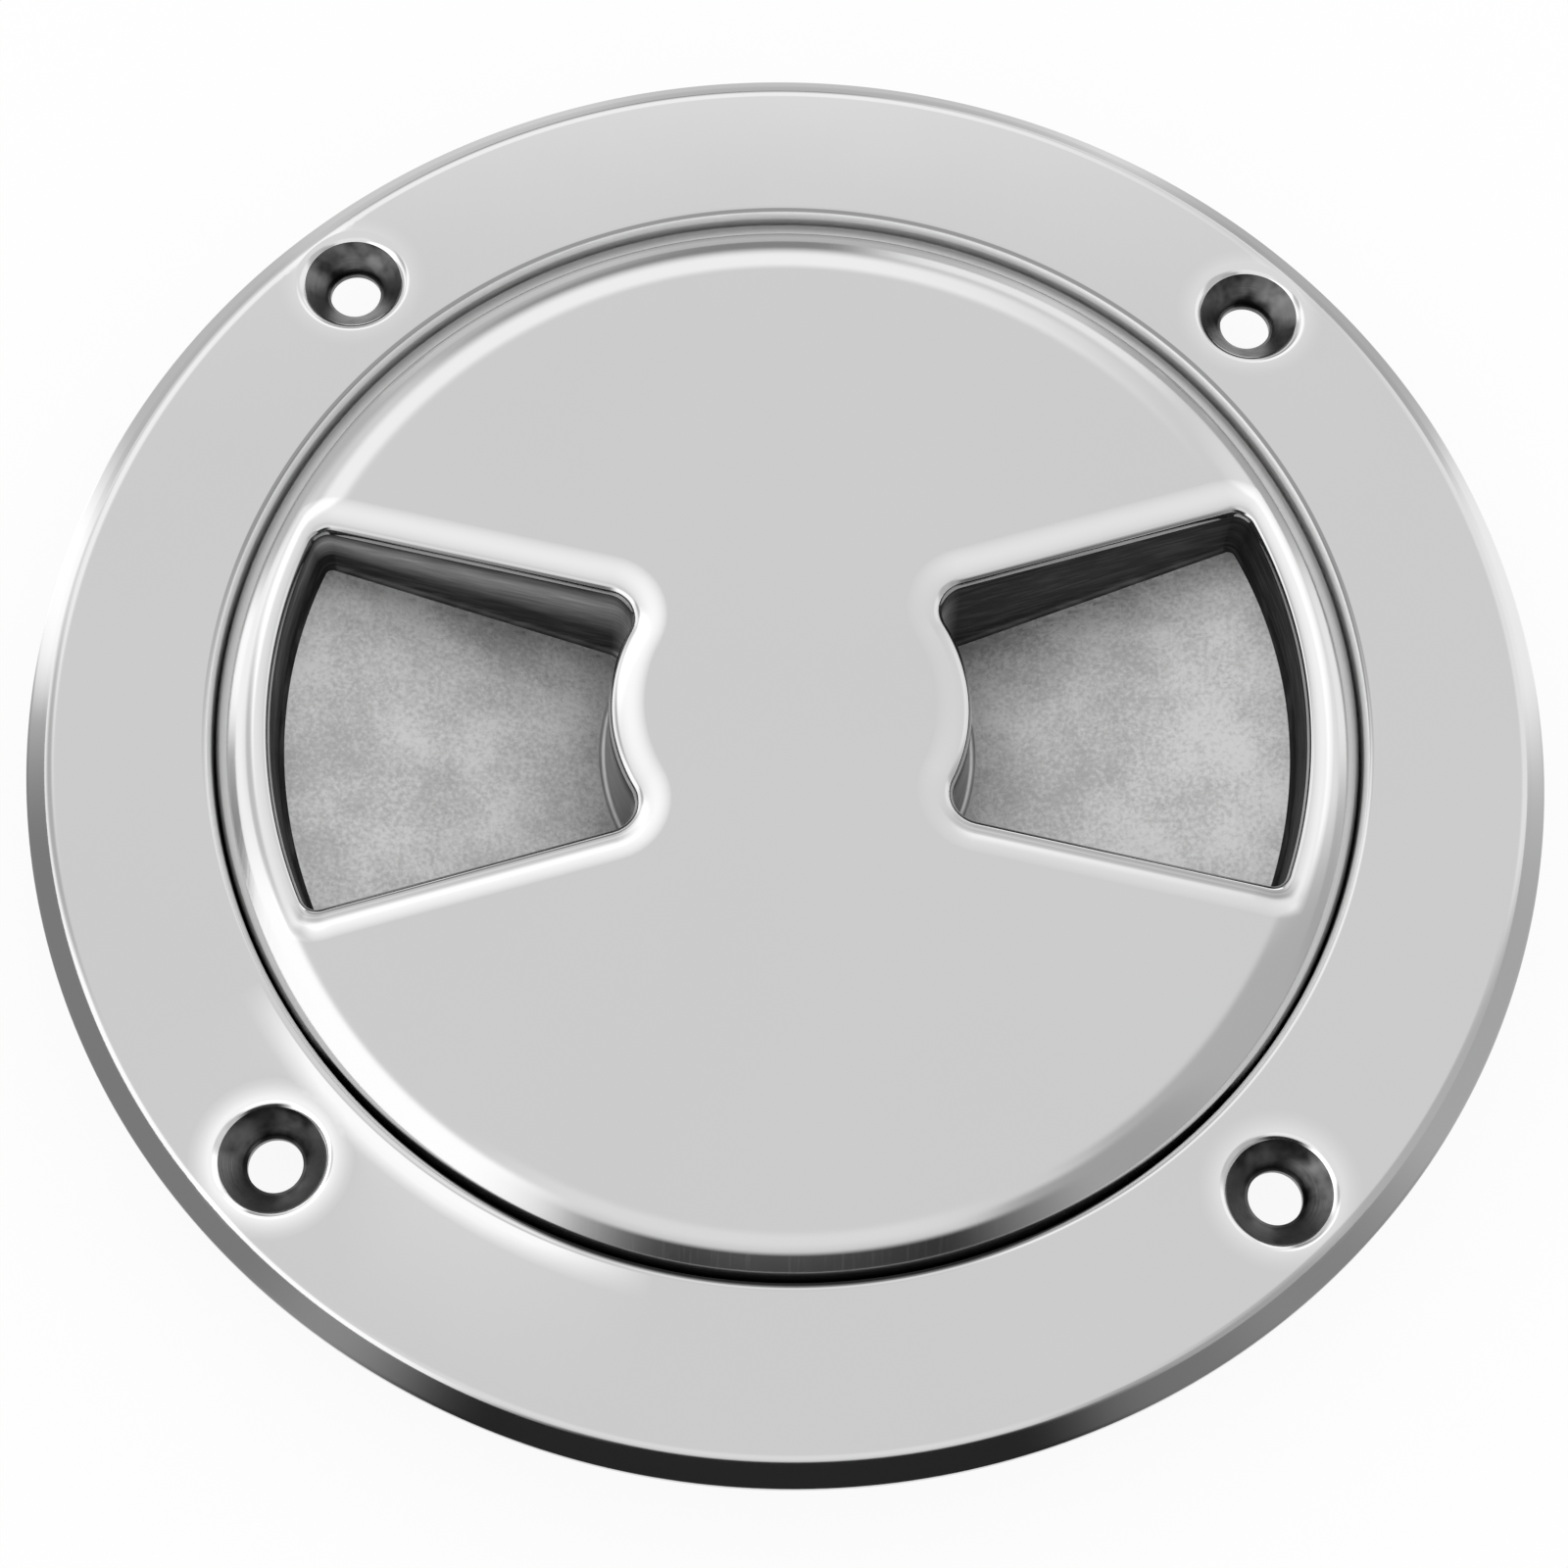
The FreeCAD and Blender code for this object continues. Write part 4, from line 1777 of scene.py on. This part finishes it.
@dataclass(frozen=True)
class TurnedSteel(Finish):
    """Steel as the tool left it, with fine grooves round the Z axis."""

    tone: float = 0.42
    groove_scale: tuple[float, float, float] = (60, 60, 9000)
    groove_depth: float = 1.5e-5
    patch_scale: float = 90

    def paint(self, graph: Graph) -> bpy.types.NodeSocket:
        """Add the finish's nodes.

        Args:
            graph: The material's nodes.

        Returns:
            The shader.
        """
        grooves = graph.cloud(1.0, 2, where=graph.stretched(self.groove_scale))
        patches = graph.cloud(self.patch_scale, 2, 0.5)
        color = graph.tones(patches * 0.6 + grooves * 0.4, *greys(self.tone, 0.7, 1.3))
        normal = graph.bump(grooves, self.groove_depth, 0.7)
        return graph.metal(color, 0.26 + patches * 0.15, normal)


@dataclass(frozen=True)
class CountersinkSteel(TurnedSteel):
    """Drilled steel in the countersinks, darker where painted shade is put."""

    tone: float = 0.17
    shaded_tone: float = 0.012
    patch_scale: float = 420

    def paint(self, graph: Graph) -> bpy.types.NodeSocket:
        """Add the finish's nodes.

        Args:
            graph: The material's nodes.

        Returns:
            The shader.
        """
        grooves = graph.cloud(1.0, 2, where=graph.stretched(self.groove_scale))
        patches = graph.cloud(self.patch_scale, 2, 0.5)
        # Painted shade from the point attribute, broken up by patches
        countersink_shade = graph.rise(graph.painted_light() + (patches - 0.5) * 1.5, 0.0, 0.85)
        color = graph.tones(countersink_shade, grey(self.tone), grey(self.shaded_tone))
        normal = graph.bump(grooves, self.groove_depth, 0.7)
        return graph.metal(color, 0.24 + patches * 0.15, normal)


@dataclass(frozen=True)
class SealRubber(Finish):
    """Moulded black rubber."""

    tone: float = 0.022
    patch_scale: float = 400
    grain_scale: float = 3000
    depth: float = 2e-5

    def paint(self, graph: Graph) -> bpy.types.NodeSocket:
        """Add the finish's nodes.

        Args:
            graph: The material's nodes.

        Returns:
            The shader.
        """
        patches = graph.cloud(self.patch_scale, 3)
        color = graph.tones(patches, *greys(self.tone, 0.8, 1.3))
        normal = graph.bump(graph.cloud(self.grain_scale, 2), self.depth, 0.5)
        return graph.node("ShaderNodeBsdfPrincipled", None, {
            "Base Color": color, "Roughness": 0.5 + patches * 0.15, "Normal": normal}).outputs[0]


@dataclass(frozen=True)
class PalePaper(Finish):
    """White floor that shows as white and keeps a faint shadow."""

    glow_share: float = 0.9
    tone: float = 0.95

    def paint(self, graph: Graph) -> bpy.types.NodeSocket:
        """Add the finish's nodes.

        Args:
            graph: The material's nodes.

        Returns:
            The shader.
        """
        path = graph.node("ShaderNodeLightPath")
        seen = graph.value(path, "Is Camera Ray").larger(graph.value(path, "Is Glossy Ray"))
        seen = seen.larger(graph.value(path, "Is Transmission Ray"))
        paper = graph.node("ShaderNodeBsdfDiffuse", None, {"Color": grey(self.tone)})
        glow = graph.node("ShaderNodeEmission", None, {"Color": grey(1.0), "Strength": 1.0})
        return graph.node("ShaderNodeMixShader", None, {
            0: seen * self.glow_share, 1: paper.outputs[0], 2: glow.outputs[0]}).outputs[0]


@dataclass(frozen=True)
class Panel:
    """A patch of the surround that is lighter or darker than the rest.

    The compass angle is 0 on the far side, behind the plate, and grows toward the right. The zenith
    angle is 0 straight above the plate. All angles are in degrees.
    """

    compass: float
    spread: float
    level: float
    compass_edge: float = 8.0
    top: float | None = None
    bottom: float | None = None
    zenith_edge: float = 5.0

    def share(self, graph: Graph, east: Value, north: Value, up: Value) -> Value:
        """How much of this patch shows in a direction.

        Args:
            graph: The surround's nodes.
            east: The direction's part toward the right, of its level part.
            north: The direction's part toward the far side, of its level part.
            up: The direction's upward part.

        Returns:
            1 on the patch, 0 off it, and eased between.
        """
        angle = math.radians(self.compass)
        along = east * math.sin(angle) + north * math.cos(angle)
        half, edge = self.spread / 2, self.compass_edge
        share = graph.rise(along, cosine(half + edge), cosine(max(half - edge, 0)))
        blur = self.zenith_edge
        if self.bottom is not None:
            share = share * graph.rise(up, cosine(self.bottom + blur), cosine(self.bottom - blur))
        if self.top is not None:
            share = share * graph.rise(up, cosine(self.top + blur), cosine(self.top - blur), 1, 0)
        return share


def cosine(degrees: float) -> float:
    """Cosine of an angle in degrees."""
    return math.cos(math.radians(degrees))


@dataclass(frozen=True)
class SurroundFace(Finish):
    """Face of a reflector that glows evenly except for its panels."""

    level: float = 1.0
    panels: tuple[Panel, ...] = ()

    def paint(self, graph: Graph) -> bpy.types.NodeSocket:
        """Add the finish's nodes.

        Args:
            graph: The material's nodes.

        Returns:
            The shader.
        """
        ray = graph.node("ShaderNodeVectorMath", {"operation": "NORMALIZE"}, {0: graph.place()})
        parts = graph.node("ShaderNodeSeparateXYZ", None, {0: ray.outputs[0]})
        east, north, up = (graph.value(parts, axis) for axis in ("X", "Y", "Z"))
        flat = (east * east + north * north).larger(1e-6) ** -0.5
        east, north = east * flat, north * flat
        level: Operand = self.level
        for panel in self.panels:
            share = panel.share(graph, east, north, up)
            level = level + (panel.level - level) * share
        color = level if isinstance(level, Value) else grey(level)
        return graph.node("ShaderNodeEmission", None, {"Color": color}).outputs[0]


@dataclass(frozen=True)
class Studio:
    """Pale floor, even light from all round, and a surround that the polished steel mirrors."""

    floor_level: float
    floor_size: float = 6.0
    daylight: float = 1.0
    dome_radius: float = 1.2
    dome_detail: int = 4
    dome_foot: float = -0.2
    tray_inner: float = 0.0735
    tray_outer: float = 0.090
    tray_low: float = -0.002
    tray_high: float = 0.011
    tray_columns: int = 96
    # Compass angle, spread, level, compass edge, zenith angles of the top and the bottom, zenith edge
    dome_panels: tuple[Panel, ...] = (
        Panel(338, 76, 1.42, 14, 38, 60),
        Panel(357, 44, 0.36, 10, 66, 96),
        Panel(18, 22, 1.3, 5, 66, 92),
        Panel(62, 44, 1.22, 10, 50, 80),
        Panel(105, 44, 0.68, 10, 40, 96, 4),
        Panel(132, 26, 0.56, 8, 50, 96, 4),
        Panel(186, 70, 1.14, 12, 38, 54),
        Panel(174, 58, 0.03, 12, 61.5, 100, 3.5),
        Panel(246, 62, 1.65, 9, 53, 92, 4),
        Panel(287, 22, 0.68, 8, 43, 60),
        Panel(292, 34, 1.45, 9, 66, 92, 8),
        Panel(330, 30, 0.72, 10, 74, 96, 6),
    )
    tray_panels: tuple[Panel, ...] = (
        Panel(0, 30, 0.72, 14),
        Panel(45, 26, 0.6, 8),
        Panel(75, 16, 1.3, 8),
        Panel(110, 36, 0.6, 12),
        Panel(137, 20, 0.36, 8),
        Panel(181, 64, 0.03, 12),
        Panel(243, 56, 0.31, 10),
        Panel(285, 14, 1.6, 6),
        Panel(307, 24, 0.72, 8),
        Panel(330, 20, 0.85, 8),
    )

    def build(self) -> None:
        """Make the floor, the world and the surround."""
        half = self.floor_size / 2
        corners = [(-half, -half, 0), (half, -half, 0), (half, half, 0), (-half, half, 0)]
        floor = self._part("floor", corners, [(0, 1, 2, 3)], PalePaper("pale_paper"))
        floor.location = (0, 0, self.floor_level)
        world = bpy.data.worlds.new("even_light")
        world.use_nodes = True
        graph = Graph(world.node_tree)
        sky = graph.node("ShaderNodeBackground", None, {"Color": grey(1.0), "Strength": self.daylight})
        graph.node("ShaderNodeOutputWorld", None, {"Surface": sky.outputs[0]})
        bpy.context.scene.world = world
        self._build_dome()
        self._build_tray()

    def _build_dome(self) -> None:
        """Make the dome over the plate, which only mirrors show."""
        shell = bmesh.new()
        bmesh.ops.create_icosphere(shell, subdivisions=self.dome_detail, radius=self.dome_radius)
        low = [point for point in shell.verts if point.co.z < self.dome_foot]
        bmesh.ops.delete(shell, geom=low)
        places = [tuple(point.co) for point in shell.verts]
        shell.verts.index_update()
        faces = [tuple(point.index for point in face.verts) for face in shell.faces]
        shell.free()
        face = SurroundFace("dome_face", self.daylight, self.dome_panels)
        self._hide_but_mirrored(self._part("dome", places, faces, face))

    def _build_tray(self) -> None:
        """Make the shallow tray round the plate, which only mirrors show."""
        columns = self.tray_columns
        places = []
        rims = ((self.tray_inner, self.tray_low), (self.tray_outer, self.tray_low),
                (self.tray_outer, self.tray_high))
        for radius, level in rims:
            places.extend((*(ray_at(angle) * radius), level) for angle in turn_angles(columns))
        faces = [(first + column, first + columns + column,
                  first + columns + (column + 1) % columns, first + (column + 1) % columns)
                 for first in (0, columns) for column in range(columns)]
        face = SurroundFace("tray_face", self.daylight, self.tray_panels)
        self._hide_but_mirrored(self._part("tray", places, faces, face))

    @staticmethod
    def _part(name: str, places: Sequence[Sequence[float]], faces: Sequence[Sequence[int]],
              finish: Finish) -> bpy.types.Object:
        """Make a part of the stage.

        Args:
            name: Name of the object.
            places: Its points in metres.
            faces: Its faces.
            finish: Its finish.

        Returns:
            The object.
        """
        mesh = bpy.data.meshes.new(name)
        mesh.from_pydata(places, [], faces)
        mesh.materials.append(finish.material())
        part = bpy.data.objects.new(name, mesh)
        bpy.context.scene.collection.objects.link(part)
        return part

    @staticmethod
    def _hide_but_mirrored(part: bpy.types.Object) -> None:
        """Let a part of the stage show in mirrors only.

        Args:
            part: The part.
        """
        part.data.materials[0].cycles.emission_sampling = "NONE"
        part.visible_camera = False
        part.visible_diffuse = False
        part.visible_shadow = False
        part.visible_transmission = False


@dataclass(frozen=True)
class Camera:
    """The photograph's viewpoint, fitted to the outer rim, the gap round the lid and the screw holes."""

    target: tuple[float, float, float] = (-0.343, -6.118, 0.0)
    distance: float = 278.78
    elevation: float = math.radians(68.288)
    azimuth: float = math.radians(-1.976)
    roll: float = math.radians(3.777)
    lens: float = 68.047
    sensor: float = 36.0
    near_clip: float = 0.01

    def build(self) -> bpy.types.Object:
        """Make the camera and let the scene use it.

        Returns:
            The camera.
        """
        back = Vector((math.sin(self.azimuth) * math.cos(self.elevation),
                       -math.cos(self.azimuth) * math.cos(self.elevation), math.sin(self.elevation)))
        level = Vector((math.cos(self.azimuth), math.sin(self.azimuth), 0))
        upright = back.cross(level)
        right = level * math.cos(self.roll) + upright * math.sin(self.roll)
        up = upright * math.cos(self.roll) - level * math.sin(self.roll)
        lens = bpy.data.cameras.new("photo_camera")
        lens.lens = self.lens
        lens.sensor_width = self.sensor
        lens.clip_start = self.near_clip
        camera = bpy.data.objects.new("photo_camera", lens)
        place = (Vector(self.target) + back * self.distance) * MM
        camera.matrix_world = Matrix.Translation(place) @ Matrix((right, up, back)).transposed().to_4x4()
        bpy.context.scene.collection.objects.link(camera)
        bpy.context.scene.camera = camera
        return camera


def box_mm(node: str) -> tuple[Vector, Vector]:
    """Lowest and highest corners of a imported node, in millimetres."""
    low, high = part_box(node)
    return low / MM, high / MM


def main() -> None:
    """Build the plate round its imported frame, and the studio round the plate."""
    logging.basicConfig(level=logging.INFO, format="%(name)s: %(message)s")
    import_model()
    bpy.context.scene.view_settings.view_transform = "Standard"
    Camera().build()
    finishes: dict[Surface, Finish] = {
        Surface.POLISHED: PolishedSteel("polished_steel"),
        Surface.POCKET_FLOOR: PocketFloor("pocket_floor"),
        Surface.POCKET_WALL: PocketWall("pocket_wall"),
        Surface.CAST: CastSteel("cast_steel"),
        Surface.TURNED: TurnedSteel("turned_steel"),
        Surface.COUNTERSINK: CountersinkSteel("countersink_steel"),
        Surface.LIP: LipSteel("lip_steel"),
        Surface.RUBBER: SealRubber("seal_rubber"),
    }
    ring_low, ring_high = box_mm("flange_ring")
    lid_low, lid_high = box_mm("lid")
    seal_low, seal_high = box_mm("seal_ring")
    ring = FlangeRing(ring_high.x, ring_high.z, ring_low.z)
    lid = Lid(ring.counterbore - ring.rim_gap, lid_high.z, lid_low.z)
    pieces = [
        ring.build(finishes),
        lid.build(finishes),
        SealRing(lid.neck_radius + lid.seal_play, seal_high.x, seal_low.z, seal_high.z).build(finishes),
    ]
    for piece in pieces:
        LOG.info("%s has %d faces", piece.name, len(piece.data.polygons))
    Studio(ring_low.z * MM).build()


if __name__ == "__main__":
    main()
